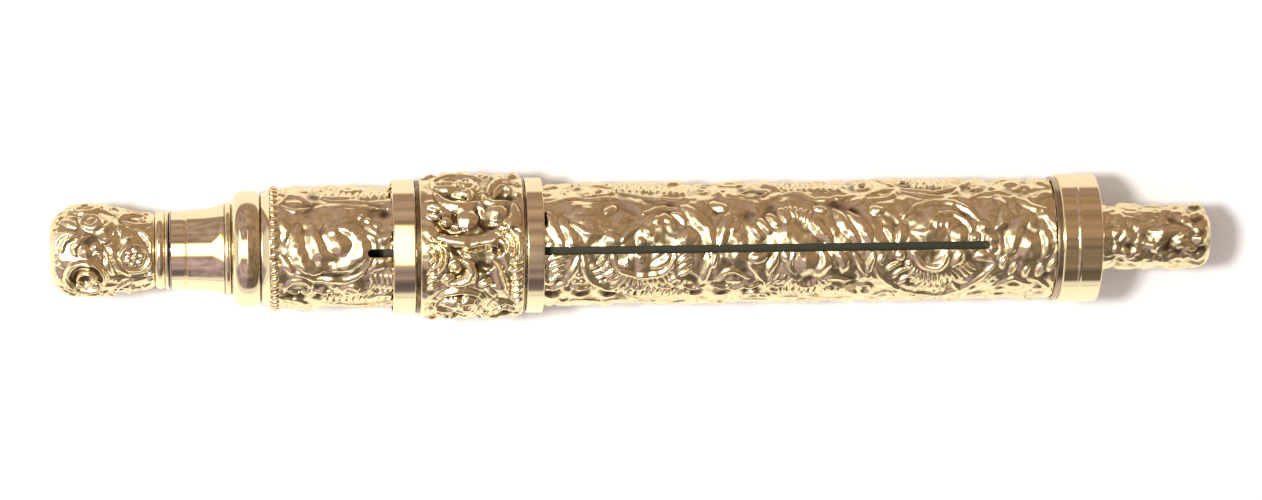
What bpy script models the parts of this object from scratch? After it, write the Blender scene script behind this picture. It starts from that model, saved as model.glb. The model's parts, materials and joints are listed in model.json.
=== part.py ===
"""Combination pen and pencil, lying along +X with its slot facing up.

Everything is turned about one axis. Stations run along that axis from the flat end of the knob.
"""
import math

import bmesh
import bpy
from mathutils import Quaternion, Vector

# Lengths along the pen, in metres.
KNOB_LENGTH = 0.0087
KNOB_BELLY_AT = 0.0030
COLLAR_LENGTH = 0.0012
SEAM_GAP = 0.00015
NECK_LENGTH = 0.0051
NECK_BAND_LENGTH = 0.0011
NECK_GROOVE_WIDTH = 0.0003
BEAD_LENGTH = 0.0031
COVE_LENGTH = 0.00065
BARREL_LENGTH = 0.0659
BAND_LENGTH = 0.00387
BAND_STEP_LENGTH = 0.0006
BAND_LIP = 0.0004
NOSE_REACH = 0.00983
NOSE_ROOT = 0.0026
NOSE_TIP_ROUND = 0.0008
NOSE_TIP_LENGTH = 0.0045

# Slot, key and thumb ring.
SLOT_REAR_MARGIN = 0.0081
SLOT_FRONT_MARGIN = 0.0057
SLOT_WIDTH = 0.0007
RING_SETBACK = 0.0021
REAR_BAND_LENGTH = 0.0019
REAR_STEP_LENGTH = 0.0004
SLEEVE_LENGTH = 0.0086
FRONT_STEP_LENGTH = 0.00025
FRONT_BAND_LENGTH = 0.00145
KEY_INSET = 0.0003

# Radii, walls and rises.
KNOB_END_R = 0.0022
KNOB_WAIST_R = 0.0030
KNOB_BELLY_RISE = 0.0008
KNOB_STUB_R = 0.0022
COLLAR_RISE = 0.00028
NECK_BAND_R = 0.00329
NECK_GROOVE_DEPTH = 0.00014
NECK_THROAT_RISE = 0.00007
NECK_FLARE = 0.0008
BEAD_RISE = 0.00034
COVE_DROP = 0.00015
COVE_RISE = 0.00042
BARREL_WALL = 0.00065
BARREL_END_WALL = 0.00045
BAND_WALL = 0.00042
BAND_STEP_DEPTH = 0.00012
RING_BORE_GAP = 0.00025
RING_BAND_WALL = 0.00029
RING_STEP_WALL = 0.00016
RING_SLEEVE_WALL = 0.00075
NOSE_WALL = 0.00072
NOSE_TAPER = 0.00012

# Pencil works inside.
LEAD_R = 0.0006
LEAD_SETBACK = 0.0005
LEAD_TRAVEL = 0.0086
LEAD_SOCKET_DEPTH = 0.0030
DRIVER_WALL = 0.0004
DRIVER_NECK = 0.0020
SCREW_R = 0.0008
SCREW_ENGAGED = 0.0025
SCREW_IN_KNOB = 0.0060
BEARING_LENGTH = 0.0024
FLANGE_R = 0.0018
FLANGE_THICKNESS = 0.0007
FLANGE_PLAY = 0.00015
PENCIL_WALL = 0.0006
DRIVER_START_GAP = 0.0060
DRIVER_PIN_LENGTH = 0.0020
DRIVER_PIN_WIDTH = 0.00045
DRIVER_SLOT_PLAY = 0.0002
NOSE_BUSH_LENGTH = 0.0050
SPIGOT_LENGTH = 0.0030

# Nib and its carriage.
CARRIAGE_WALL = 0.0004
CARRIAGE_GAP = 0.00035
NOSE_GAP = 0.00031
CARRIAGE_BUSH_LENGTH = 0.0035
CARRIAGE_TAIL = 0.0008
NIB_THICKNESS = 0.00025
NIB_LENGTH = 0.0255
NIB_HELD = 0.0171
NIB_SETBACK = 0.0011
NIB_WRAP = math.radians(150)
NIB_SHOULDER = 0.0026
NIB_TIP_HALF = 0.00036
NIB_SLIT = 0.00014
NIB_HOLE_R = 0.0005
NIB_HOLE_AT = 0.0198
NIB_SLEEVE_WALL = 0.00025
SPRING_LENGTH = 0.0100
SPRING_WIDTH = 0.0012
SPRING_THICKNESS = 0.0001
SPRING_BOW = 0.00009

# Clearances.
FIT_GAP = 0.00006
RUN_GAP = 0.00012

FACETS = 32
INNER_FACETS = 24
SHARP_ANGLE = math.radians(28)

# Radii that follow from the sizes above, from the lead outward.
screw_bore_r = SCREW_R + RUN_GAP
driver_r = screw_bore_r + DRIVER_WALL
pencil_bore_r = driver_r + RUN_GAP
pencil_r = pencil_bore_r + PENCIL_WALL
nose_socket_r = pencil_r + FIT_GAP
nose_r = nose_socket_r + NOSE_WALL
nib_sleeve_bore_r = nose_r + NOSE_GAP
nib_sleeve_r = nib_sleeve_bore_r + NIB_SLEEVE_WALL
nib_inner_r = nib_sleeve_r + FIT_GAP
nib_outer_r = nib_inner_r + NIB_THICKNESS
carriage_bore_r = nib_outer_r + FIT_GAP
carriage_r = carriage_bore_r + CARRIAGE_WALL
barrel_bore_r = carriage_r + CARRIAGE_GAP
barrel_r = barrel_bore_r + BARREL_WALL
barrel_end_r = barrel_bore_r + BARREL_END_WALL
band_bore_r = barrel_end_r + FIT_GAP
band_r = band_bore_r + BAND_WALL
ring_bore_r = barrel_r + RING_BORE_GAP
sleeve_r = ring_bore_r + RING_SLEEVE_WALL
knob_belly_r = KNOB_WAIST_R + KNOB_BELLY_RISE
collar_r = KNOB_WAIST_R + COLLAR_RISE
neck_throat_r = NECK_BAND_R + NECK_THROAT_RISE
neck_flare_r = neck_throat_r + NECK_FLARE
bead_foot_r = neck_flare_r + FIT_GAP
cove_top_r = barrel_r - COVE_DROP
bead_front_r = cove_top_r - COVE_RISE
bead_r = bead_front_r + BEAD_RISE
axis_height = sleeve_r * math.cos(math.pi / FACETS)

# Stations that follow from the lengths above.
collar_start = KNOB_LENGTH
collar_end = collar_start + COLLAR_LENGTH
neck_start = collar_end + SEAM_GAP
neck_end = neck_start + NECK_LENGTH
bead_start = neck_end
bead_end = bead_start + BEAD_LENGTH
barrel_start = bead_end + FIT_GAP
barrel_end = barrel_start + BARREL_LENGTH
mouth = barrel_end + BAND_LENGTH
nose_end = mouth + NOSE_REACH
nose_start = mouth - NOSE_ROOT
slot_start = barrel_start + SLOT_REAR_MARGIN
slot_end = barrel_end - SLOT_FRONT_MARGIN
ring_start = slot_start + RING_SETBACK
key_start = ring_start + KEY_INSET
sleeve_start = ring_start + REAR_BAND_LENGTH + REAR_STEP_LENGTH
sleeve_end = sleeve_start + SLEEVE_LENGTH
ring_end = sleeve_end + FRONT_STEP_LENGTH + FRONT_BAND_LENGTH
key_end = ring_end - KEY_INSET
flange_start = neck_start + BEARING_LENGTH + FLANGE_PLAY
flange_end = flange_start + FLANGE_THICKNESS
pencil_start = flange_end + FLANGE_PLAY
nose_floor = nose_end - NOSE_TIP_LENGTH
pencil_end = nose_floor - FIT_GAP
driver_start = pencil_start + DRIVER_START_GAP
screw_end = driver_start + LEAD_TRAVEL + SCREW_ENGAGED
driver_floor = screw_end + RUN_GAP
socket_floor = driver_floor + DRIVER_NECK
driver_end = socket_floor + LEAD_SOCKET_DEPTH
nib_tip = mouth - NIB_SETBACK
nib_start = nib_tip - NIB_LENGTH
carriage_start = ring_start - CARRIAGE_TAIL
carriage_end = nib_start + NIB_HELD
spigot_end = barrel_start + SPIGOT_LENGTH

GOLD = (0.83, 0.55, 0.22, 1.0)
PALE_GOLD = (0.86, 0.62, 0.31, 1.0)
DULL_BRASS = (0.30, 0.25, 0.12, 1.0)
STEEL = (0.55, 0.54, 0.52, 1.0)
GRAPHITE = (0.05, 0.05, 0.055, 1.0)


def start_scene():
    """Empty the scene and lay the turning axis along world X, with its own +X pointing up."""
    for item in list(bpy.data.objects):
        bpy.data.objects.remove(item, do_unlink=True)
    parts = bpy.data.collections.new("combination_pen_and_pencil")
    cutters = bpy.data.collections.new("cutters")
    bpy.context.scene.collection.children.link(parts)
    bpy.context.scene.collection.children.link(cutters)
    axis = bpy.data.objects.new("pen_axis", None)
    parts.objects.link(axis)
    axis.rotation_mode = "QUATERNION"
    axis.rotation_quaternion = Quaternion(Vector((1.0, 0.0, 1.0)), math.pi)
    axis.location = (-nose_end / 2, 0.0, axis_height)
    return axis, parts, cutters


def material(name, colour, roughness, metallic=1.0):
    mat = bpy.data.materials.new(name)
    mat.use_nodes = True
    shader = mat.node_tree.nodes["Principled BSDF"]
    shader.inputs["Base Color"].default_value = colour
    shader.inputs["Roughness"].default_value = roughness
    shader.inputs["Metallic"].default_value = metallic
    return mat


def add_object(name, mesh, finish):
    """Hang a mesh on the turning axis with a material of its own."""
    obj = bpy.data.objects.new(name, mesh)
    PARTS.objects.link(obj)
    obj.parent = AXIS
    mesh.materials.append(material(name + "_finish", *finish))
    return obj


def add_cutter(name, mesh):
    obj = bpy.data.objects.new(name, mesh)
    CUTTERS.objects.link(obj)
    obj.parent = AXIS
    obj.hide_render = True
    obj.display_type = "WIRE"
    return obj


def cut(target, cutter, operation="DIFFERENCE"):
    mod = target.modifiers.new(operation.lower(), "BOOLEAN")
    mod.operation = operation
    mod.solver = "EXACT"
    mod.object = cutter


def mesh_from_bmesh(name, bm):
    mesh = bpy.data.meshes.new(name)
    bm.normal_update()
    bm.to_mesh(mesh)
    bm.free()
    return mesh


def arc(centre_r, centre_s, size_r, size_s, start, end, steps):
    """Points of an elliptical arc in the outline plane, angles in degrees from +radius toward +station."""
    points = []
    for i in range(steps + 1):
        angle = math.radians(start + (end - start) * i / steps)
        points.append((centre_r + size_r * math.cos(angle), centre_s + size_s * math.sin(angle)))
    return points


def flow(r_from, s_from, r_to, s_to, power, steps):
    """Points of a smooth run between two radii; power 1 is straight, above 1 starts level and flares."""
    points = []
    for i in range(steps + 1):
        u = i / steps
        points.append((r_from + (r_to - r_from) * u ** power, s_from + (s_to - s_from) * u))
    return points


def ease(r_from, s_from, r_to, s_to, steps):
    """Points of an S-curve that is level at both ends."""
    points = []
    for i in range(steps + 1):
        u = i / steps
        blend = 0.5 - 0.5 * math.cos(math.pi * u)
        points.append((r_from + (r_to - r_from) * blend, s_from + (s_to - s_from) * u))
    return points


def turned(name, outline, finish, facets=FACETS):
    """Turn an outline of (radius, station) points, given along its outside and back through its bore.

    Half a facet of turn puts one flat side straight up and one straight down.
    """
    points = list(reversed(outline))
    bm = bmesh.new()
    verts = [bm.verts.new((r, 0.0, s)) for r, s in points]
    for a, b in zip(verts, verts[1:]):
        bm.edges.new((a, b))
    if points[0][0] > 0.0:
        bm.edges.new((verts[-1], verts[0]))
    obj = add_object(name, mesh_from_bmesh(name, bm), finish)
    obj.rotation_euler.z = math.pi / facets
    mod = obj.modifiers.new("turn", "SCREW")
    mod.axis = "Z"
    mod.angle = 2 * math.pi
    mod.steps = facets
    mod.render_steps = facets
    mod.use_merge_vertices = True
    mod.merge_threshold = 0.00001
    mod.use_smooth_shade = False
    return obj


def tube(name, bore_r, outer_r, start, end, finish, facets=FACETS):
    return turned(name, [(outer_r, start), (outer_r, end), (bore_r, end), (bore_r, start)], finish, facets)


def block_mesh(name, low, high, rounding=0.0):
    """Box between two corners; the edges that run away from the axis can be rounded."""
    low = Vector(low)
    high = Vector(high)
    bm = bmesh.new()
    bmesh.ops.create_cube(bm, size=1.0)
    for vert in bm.verts:
        for i in range(3):
            vert.co[i] = low[i] if vert.co[i] < 0.0 else high[i]
    if rounding > 0.0:
        upright = [e for e in bm.edges if abs(e.verts[0].co.x - e.verts[1].co.x) > (high.x - low.x) / 2]
        bmesh.ops.bevel(bm, geom=upright, offset=rounding, segments=4, affect="EDGES", profile=0.5)
    return mesh_from_bmesh(name, bm)


def plan_mesh(name, outline, low, high):
    """Solid prism from a plan outline of (across, station) points, between two heights."""
    curve = bpy.data.curves.new(name, "CURVE")
    curve.dimensions = "2D"
    curve.fill_mode = "BOTH"
    curve.extrude = (high - low) / 2
    spline = curve.splines.new("POLY")
    spline.points.add(len(outline) - 1)
    for point, (across, station) in zip(spline.points, outline):
        point.co = (across, station, 0.0, 1.0)
    spline.use_cyclic_u = True
    holder = bpy.data.objects.new(name, curve)
    bpy.context.scene.collection.objects.link(holder)
    graph = bpy.context.evaluated_depsgraph_get()
    mesh = bpy.data.meshes.new_from_object(holder.evaluated_get(graph))
    bpy.data.objects.remove(holder, do_unlink=True)
    bpy.data.curves.remove(curve)
    bm = bmesh.new()
    bm.from_mesh(mesh)
    bpy.data.meshes.remove(mesh)
    bmesh.ops.remove_doubles(bm, verts=bm.verts, dist=0.000001)
    for vert in bm.verts:
        across, station, height = vert.co
        vert.co = (height + (low + high) / 2, across, station)
    bmesh.ops.recalc_face_normals(bm, faces=bm.faces)
    return mesh_from_bmesh(name, bm)


def drill_mesh(name, radius, station, depth):
    """Round drill that comes down on the axis from above."""
    bm = bmesh.new()
    bmesh.ops.create_cone(bm, cap_ends=True, segments=16, radius1=radius, radius2=radius, depth=depth)
    for vert in bm.verts:
        x, y, z = vert.co
        vert.co = (z + depth / 2 + radius, x, y + station)
    return mesh_from_bmesh(name, bm)


def build_knob():
    outside = [(KNOB_END_R, 0.0)]
    outside += arc(KNOB_END_R, KNOB_BELLY_AT, knob_belly_r - KNOB_END_R, KNOB_BELLY_AT, -75, 0, 6)
    outside += ease(knob_belly_r, KNOB_BELLY_AT, KNOB_WAIST_R, KNOB_LENGTH, 7)[1:]
    stub_end = collar_end - RUN_GAP
    bore_r = SCREW_R + FIT_GAP
    bore_floor = stub_end - SCREW_IN_KNOB
    outline = [(0.0, 0.0)] + outside
    outline += [(KNOB_STUB_R, KNOB_LENGTH), (KNOB_STUB_R, stub_end), (bore_r, stub_end)]
    outline += [(bore_r, bore_floor), (0.0, bore_floor)]
    turned("knob_body", outline, (GOLD, 0.24))

    collar_foot = collar_start + FIT_GAP
    bead_end_s = collar_end - COLLAR_LENGTH * 0.28
    half = (bead_end_s - collar_foot) / 2
    collar = arc(KNOB_WAIST_R, collar_foot + half, collar_r - KNOB_WAIST_R, half, -90, 90, 6)
    collar += [(collar_r, bead_end_s + RUN_GAP), (collar_r, collar_end)]
    collar += [(KNOB_STUB_R + FIT_GAP, collar_end), (KNOB_STUB_R + FIT_GAP, collar_foot)]
    turned("knob_collar", collar, (PALE_GOLD, 0.14))

    screw_start = bore_floor + FIT_GAP
    screw = [(0.0, screw_start), (SCREW_R, screw_start), (SCREW_R, screw_end), (0.0, screw_end)]
    turned("propel_screw", screw, (STEEL, 0.35), INNER_FACETS)
    tube("screw_flange", SCREW_R + FIT_GAP, FLANGE_R, flange_start, flange_end, (STEEL, 0.35), INNER_FACETS)


def build_neck():
    groove_start = neck_start + NECK_BAND_LENGTH
    groove_end = groove_start + NECK_GROOVE_WIDTH
    groove_r = NECK_BAND_R - NECK_GROOVE_DEPTH
    spigot_r = NECK_BAND_R - NECK_GROOVE_DEPTH * 2
    bearing_end = neck_start + BEARING_LENGTH
    outline = [(NECK_BAND_R, neck_start), (NECK_BAND_R, groove_start), (groove_r, groove_start + FIT_GAP)]
    outline += [(groove_r, groove_end - FIT_GAP), (neck_throat_r, groove_end)]
    outline += flow(neck_throat_r, groove_end, neck_flare_r, neck_end, 2.4, 7)[1:]
    outline += [(spigot_r, neck_end), (spigot_r, spigot_end)]
    outline += [(pencil_r + FIT_GAP, spigot_end), (pencil_r + FIT_GAP, bearing_end)]
    outline += [(SCREW_R + RUN_GAP, bearing_end), (SCREW_R + RUN_GAP, neck_start)]
    turned("neck_sleeve", outline, (PALE_GOLD, 0.10))

    foot = bead_start + FIT_GAP
    peak = bead_start + BEAD_LENGTH * 0.40
    groove = bead_end - COVE_LENGTH
    bead = arc(bead_foot_r, peak, bead_r - bead_foot_r, peak - foot, -90, 0, 5)
    bead += arc(bead_front_r, peak, bead_r - bead_front_r, groove - RUN_GAP - peak, 0, 90, 5)[1:]
    bead += [(bead_front_r - FIT_GAP, groove - RUN_GAP), (bead_front_r - FIT_GAP, groove)]
    bead += flow(bead_front_r, groove, cove_top_r, bead_end, 1.5, 4)
    plug_r = barrel_bore_r - FIT_GAP
    bead += [(plug_r, bead_end), (plug_r, spigot_end)]
    bead += [(spigot_r + FIT_GAP, spigot_end), (spigot_r + FIT_GAP, foot)]
    turned("bead_ring", bead, (PALE_GOLD, 0.10))


def build_barrel():
    end_start = barrel_end
    end = mouth - BAND_LIP - FIT_GAP
    outline = [(barrel_r, barrel_start), (barrel_r, end_start), (barrel_end_r, end_start)]
    outline += [(barrel_end_r, end), (barrel_bore_r, end), (barrel_bore_r, barrel_start)]
    barrel = turned("barrel_tube", outline, (GOLD, 0.24))
    half = SLOT_WIDTH / 2
    low = (carriage_r, -half, slot_start)
    high = (ring_bore_r, half, slot_end)
    cut(barrel, add_cutter("slot_cutter", block_mesh("slot_cutter", low, high, half * 0.96)))

    start = barrel_end + FIT_GAP
    step_r = band_r - BAND_STEP_DEPTH
    crease = (start + mouth) / 2
    step_end = start + BAND_STEP_LENGTH
    band = [(step_r, start), (step_r, step_end), (band_r, step_end + FIT_GAP)]
    band += [(band_r, crease - RUN_GAP), (band_r - FIT_GAP, crease), (band_r, crease + RUN_GAP)]
    band += [(band_r, mouth - RUN_GAP), (band_r - RUN_GAP, mouth)]
    band += [(barrel_bore_r, mouth), (barrel_bore_r, mouth - BAND_LIP)]
    band += [(band_bore_r, mouth - BAND_LIP), (band_bore_r, start)]
    turned("mouth_band", band, (PALE_GOLD, 0.12))


def build_thumb_ring():
    rear_end = ring_start + REAR_BAND_LENGTH
    front_start = ring_end - FRONT_BAND_LENGTH
    band_r = ring_bore_r + RING_BAND_WALL
    step_r = ring_bore_r + RING_STEP_WALL
    round_off = RING_BAND_WALL * 0.5
    bands = (("ring_band_rear", ring_start, rear_end), ("ring_band_front", front_start, ring_end))
    for name, start, end in bands:
        outline = [(band_r - round_off, start), (band_r, start + round_off)]
        outline += [(band_r, end - round_off), (band_r - round_off, end)]
        outline += [(ring_bore_r, end), (ring_bore_r, start)]
        turned(name, outline, (PALE_GOLD, 0.12))
    start = rear_end + FIT_GAP
    end = front_start - FIT_GAP
    shoulder = RING_SLEEVE_WALL * 0.4
    sleeve = [(step_r, start), (step_r, sleeve_start), (sleeve_r - shoulder, sleeve_start)]
    sleeve += [(sleeve_r, sleeve_start + shoulder), (sleeve_r, sleeve_end - shoulder)]
    sleeve += [(sleeve_r - shoulder, sleeve_end), (step_r, sleeve_end), (step_r, end)]
    sleeve += [(ring_bore_r, end), (ring_bore_r, start)]
    turned("ring_sleeve", sleeve, (GOLD, 0.24))

    half = SLOT_WIDTH / 2 - RUN_GAP / 2
    top = ring_bore_r * math.cos(math.pi / FACETS) - FIT_GAP
    low = (carriage_r + FIT_GAP, -half, key_start)
    key = block_mesh("slide_key", low, (top, half, key_end), half * 0.9)
    add_object("slide_key", key, (GOLD, 0.28))


def build_carriage():
    tube("carriage_tube", carriage_bore_r, carriage_r, carriage_start, carriage_end, (DULL_BRASS, 0.45))
    bush_end = carriage_start + CARRIAGE_BUSH_LENGTH
    bush_r = carriage_bore_r - FIT_GAP
    tube("carriage_bush", pencil_r + RUN_GAP, bush_r, carriage_start, bush_end, (DULL_BRASS, 0.4))
    tube("nib_sleeve", nib_sleeve_bore_r, nib_sleeve_r, nib_start, carriage_end, (DULL_BRASS, 0.4))

    # The leaf spring lies under the carriage and bows out toward the barrel's bore.
    middle = (carriage_start + carriage_end) / 2
    bm = bmesh.new()
    bmesh.ops.create_grid(bm, x_segments=1, y_segments=12, size=0.5)
    rest_r = carriage_r + FIT_GAP + SPRING_THICKNESS / 2
    for vert in bm.verts:
        across, along, _ = vert.co
        bow = SPRING_BOW * math.cos(math.pi * along)
        vert.co = (-(rest_r + bow), across * SPRING_WIDTH, middle + along * SPRING_LENGTH)
    spring = add_object("drag_spring", mesh_from_bmesh("drag_spring", bm), (STEEL, 0.3))
    shell = spring.modifiers.new("leaf", "SOLIDIFY")
    shell.thickness = SPRING_THICKNESS
    shell.offset = 0.0


def nib_half_width(u):
    """Half width of the nib in plan, for u from 0 at the end of its held part to 1 at the tip."""
    shank = nib_outer_r
    if u < 0.3:
        return NIB_SHOULDER + (shank - NIB_SHOULDER) * (0.5 + 0.5 * math.cos(math.pi * u / 0.3))
    return NIB_TIP_HALF + (NIB_SHOULDER - NIB_TIP_HALF) * (1 - (u - 0.3) / 0.7) ** 1.35


def build_nib():
    middle_r = (nib_inner_r + nib_outer_r) / 2
    bm = bmesh.new()
    rear = bm.verts.new((middle_r, 0.0, nib_start))
    front = bm.verts.new((middle_r, 0.0, nib_tip))
    bm.edges.new((front, rear))
    nib = add_object("pen_nib", mesh_from_bmesh("pen_nib", bm), (PALE_GOLD, 0.2))
    nib.rotation_euler.z = -NIB_WRAP / 2
    sheet = nib.modifiers.new("roll", "SCREW")
    sheet.axis = "Z"
    sheet.angle = NIB_WRAP
    sheet.steps = 16
    sheet.render_steps = 16
    sheet.use_smooth_shade = False
    shell = nib.modifiers.new("gauge", "SOLIDIFY")
    shell.thickness = NIB_THICKNESS
    shell.offset = 0.0

    held_end = nib_start + NIB_HELD
    reach = nib_tip - held_end
    steps = 18
    side = [(nib_half_width(i / steps), held_end + reach * i / steps) for i in range(steps + 1)]
    side = [(nib_outer_r * 1.2, nib_start - RUN_GAP), (nib_outer_r * 1.2, held_end)] + side
    side[-1] = (NIB_TIP_HALF, nib_tip + RUN_GAP)
    plan = side + [(-across, station) for across, station in reversed(side)]
    cut(nib, add_cutter("nib_plan", plan_mesh("nib_plan", plan, 0.0, carriage_r)), "INTERSECT")
    hole_at = nib_start + NIB_HOLE_AT
    cut(nib, add_cutter("nib_hole", drill_mesh("nib_hole", NIB_HOLE_R, hole_at, carriage_r)))
    half = NIB_SLIT / 2
    slit = block_mesh("nib_slit", (0.0, -half, hole_at), (carriage_r, half, nib_tip + RUN_GAP * 2))
    cut(nib, add_cutter("nib_slit", slit))


def build_pencil():
    brass = (DULL_BRASS, 0.4)
    works = tube("pencil_tube", pencil_bore_r, pencil_r, pencil_start, pencil_end, brass, INNER_FACETS)
    pin_start = driver_start + DRIVER_SLOT_PLAY + FIT_GAP
    pin_end = pin_start + DRIVER_PIN_LENGTH
    half = DRIVER_PIN_WIDTH / 2 + RUN_GAP
    low = (-pencil_r * 1.1, -half, pin_start - DRIVER_SLOT_PLAY)
    high = (-SCREW_R, half, pin_end + LEAD_TRAVEL + DRIVER_SLOT_PLAY)
    cut(works, add_cutter("driver_slot", block_mesh("driver_slot", low, high)))

    half = DRIVER_PIN_WIDTH / 2
    low = (-pencil_r, -half, pin_start)
    pin = block_mesh("driver_pin", low, (-(driver_r + FIT_GAP), half, pin_end))
    add_object("driver_pin", pin, (STEEL, 0.4))
    socket_r = LEAD_R + FIT_GAP
    driver = [(0.0, driver_floor), (screw_bore_r, driver_floor), (screw_bore_r, driver_start)]
    driver += [(driver_r, driver_start), (driver_r, driver_end)]
    driver += [(socket_r, driver_end), (socket_r, socket_floor), (0.0, socket_floor)]
    turned("lead_driver", driver, brass, INNER_FACETS)

    lead_end = nose_end - LEAD_SETBACK
    lead_start = socket_floor + FIT_GAP
    lead = [(0.0, lead_start), (LEAD_R, lead_start), (LEAD_R, lead_end), (0.0, lead_end)]
    turned("pencil_lead", lead, (GRAPHITE, 0.5, 0.0), INNER_FACETS)
    bush_end = pencil_end - FIT_GAP
    bush_r = pencil_bore_r - FIT_GAP
    bush_start = bush_end - NOSE_BUSH_LENGTH
    tube("nose_bush", LEAD_R + RUN_GAP, bush_r, bush_start, bush_end, (STEEL, 0.4), INNER_FACETS)

    tip_r = nose_r - NOSE_TAPER - NOSE_TIP_ROUND
    nose = [(nose_r, nose_start), (nose_r, mouth)]
    nose += arc(tip_r, nose_end - NOSE_TIP_ROUND, NOSE_TIP_ROUND, NOSE_TIP_ROUND, 0, 90, 5)
    nose += [(LEAD_R + RUN_GAP, nose_end), (LEAD_R + RUN_GAP, nose_floor)]
    nose += [(nose_socket_r, nose_floor), (nose_socket_r, nose_start)]
    turned("pencil_nose", nose, (GOLD, 0.26), INNER_FACETS)


def smooth_by_angle():
    """Shading that is smooth over the facets of a round piece and keeps its turned edges crisp."""
    group = bpy.data.node_groups.new("smooth_by_angle", "GeometryNodeTree")
    group.interface.new_socket(name="Geometry", in_out="INPUT", socket_type="NodeSocketGeometry")
    group.interface.new_socket(name="Geometry", in_out="OUTPUT", socket_type="NodeSocketGeometry")
    entry = group.nodes.new("NodeGroupInput")
    leave = group.nodes.new("NodeGroupOutput")
    angle = group.nodes.new("GeometryNodeInputMeshEdgeAngle")
    gentle = group.nodes.new("FunctionNodeCompare")
    gentle.operation = "LESS_THAN"
    gentle.inputs[1].default_value = SHARP_ANGLE
    faces = group.nodes.new("GeometryNodeSetShadeSmooth")
    edges = group.nodes.new("GeometryNodeSetShadeSmooth")
    edges.domain = "EDGE"
    group.links.new(entry.outputs[0], faces.inputs[0])
    group.links.new(faces.outputs[0], edges.inputs[0])
    group.links.new(angle.outputs["Unsigned Angle"], gentle.inputs[0])
    group.links.new(gentle.outputs[0], edges.inputs["Shade Smooth"])
    group.links.new(edges.outputs[0], leave.inputs[0])
    return group


def shade_round_pieces():
    group = smooth_by_angle()
    for obj in AXIS.children:
        if obj.hide_render or "turn" not in obj.modifiers:
            continue
        obj.modifiers.new("shading", "NODES").node_group = group


AXIS, PARTS, CUTTERS = start_scene()
build_knob()
build_neck()
build_barrel()
build_thumb_ring()
build_carriage()
build_nib()
build_pencil()
shade_round_pieces()
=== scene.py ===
"""Looks of a gold combination pen and pencil: chased scrollwork, polished mouldings, nib and lead."""

import json
import math

import bmesh
import bpy
import numpy as np
from mathutils import Matrix, Vector

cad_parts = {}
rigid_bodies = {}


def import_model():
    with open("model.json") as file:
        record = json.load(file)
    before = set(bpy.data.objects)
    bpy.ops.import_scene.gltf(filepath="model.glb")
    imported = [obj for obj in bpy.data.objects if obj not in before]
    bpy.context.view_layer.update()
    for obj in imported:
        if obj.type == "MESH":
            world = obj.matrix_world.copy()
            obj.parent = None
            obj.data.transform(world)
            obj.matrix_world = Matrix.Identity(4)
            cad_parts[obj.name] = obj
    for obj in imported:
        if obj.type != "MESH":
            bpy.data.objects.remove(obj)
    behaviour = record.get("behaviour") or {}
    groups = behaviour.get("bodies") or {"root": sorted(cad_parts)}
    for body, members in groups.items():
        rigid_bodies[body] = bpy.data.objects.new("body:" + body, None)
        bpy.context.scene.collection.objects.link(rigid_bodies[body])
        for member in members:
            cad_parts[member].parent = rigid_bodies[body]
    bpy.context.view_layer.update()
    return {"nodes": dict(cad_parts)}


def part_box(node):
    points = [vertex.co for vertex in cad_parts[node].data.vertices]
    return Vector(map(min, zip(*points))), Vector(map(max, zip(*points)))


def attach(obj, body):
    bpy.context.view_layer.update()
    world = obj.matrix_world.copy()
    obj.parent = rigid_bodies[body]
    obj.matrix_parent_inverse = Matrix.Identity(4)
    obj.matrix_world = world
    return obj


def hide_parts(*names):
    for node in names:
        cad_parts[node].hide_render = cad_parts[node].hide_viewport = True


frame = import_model()

MM = 0.001
WHITE = (1.0, 1.0, 1.0, 1.0)

# The floor's own glow, its white, and where a painted brown table starts in reflections behind the pen, in
# metres.
FLOOR_GLOW = 0.06
FLOOR_GAIN = 0.92
PAINTED_TABLE_START = 0.024

# Places taken from the CAD, in metres.
knob_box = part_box("knob_body")
barrel_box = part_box("barrel_tube")
AXIS_Z = (barrel_box[0][2] + barrel_box[1][2]) / 2
ORIGIN_X = knob_box[0][0]


def station(node, end):
    """Distance in millimetres from the knob's flat end to the low (0) or high (1) end of a CAD node."""
    return (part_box(node)[end][0] - ORIGIN_X) / MM


# Radii of the finished surfaces, in millimetres.
BARREL_GROUND_R = 4.97
BARREL_BORE_R = 4.50
RING_GROUND_R = 5.82
RING_BORE_R = 5.40
NOSE_GROUND_R = 2.76
NOSE_BORE_R = 0.72
NOSE_SOCKET_R = 2.10
KNOB_BORE_R = 0.9

# Radii on which the ornament's lengths round the pen are measured.
BARREL_WRAP_R = BARREL_GROUND_R + 0.15
RING_WRAP_R = 6.05
NOSE_WRAP_R = 2.82
KNOB_WRAP_R = 3.80

# The slot and the block that cuts it, in millimetres.
SLOT_HALF = 0.35
SLOT_START = 26.41
SLOT_END = 78.51
SLOT_CUT_LOW_R = 4.2
SLOT_CUT_HIGH_R = 6.2

# The chased barrel is made in lengths, each with this many rows of faces.
BARREL_LENGTHS = 3
BARREL_ROWS = 240

# How often a design repeats round the pen.
REPEATS = 3

# Edges of chased metal stay sharp past this angle, in degrees.
CHASED_SHARP = 62

# Gap at the seams of the shoulder, in millimetres.
SEAM_GAP = 0.06


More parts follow.
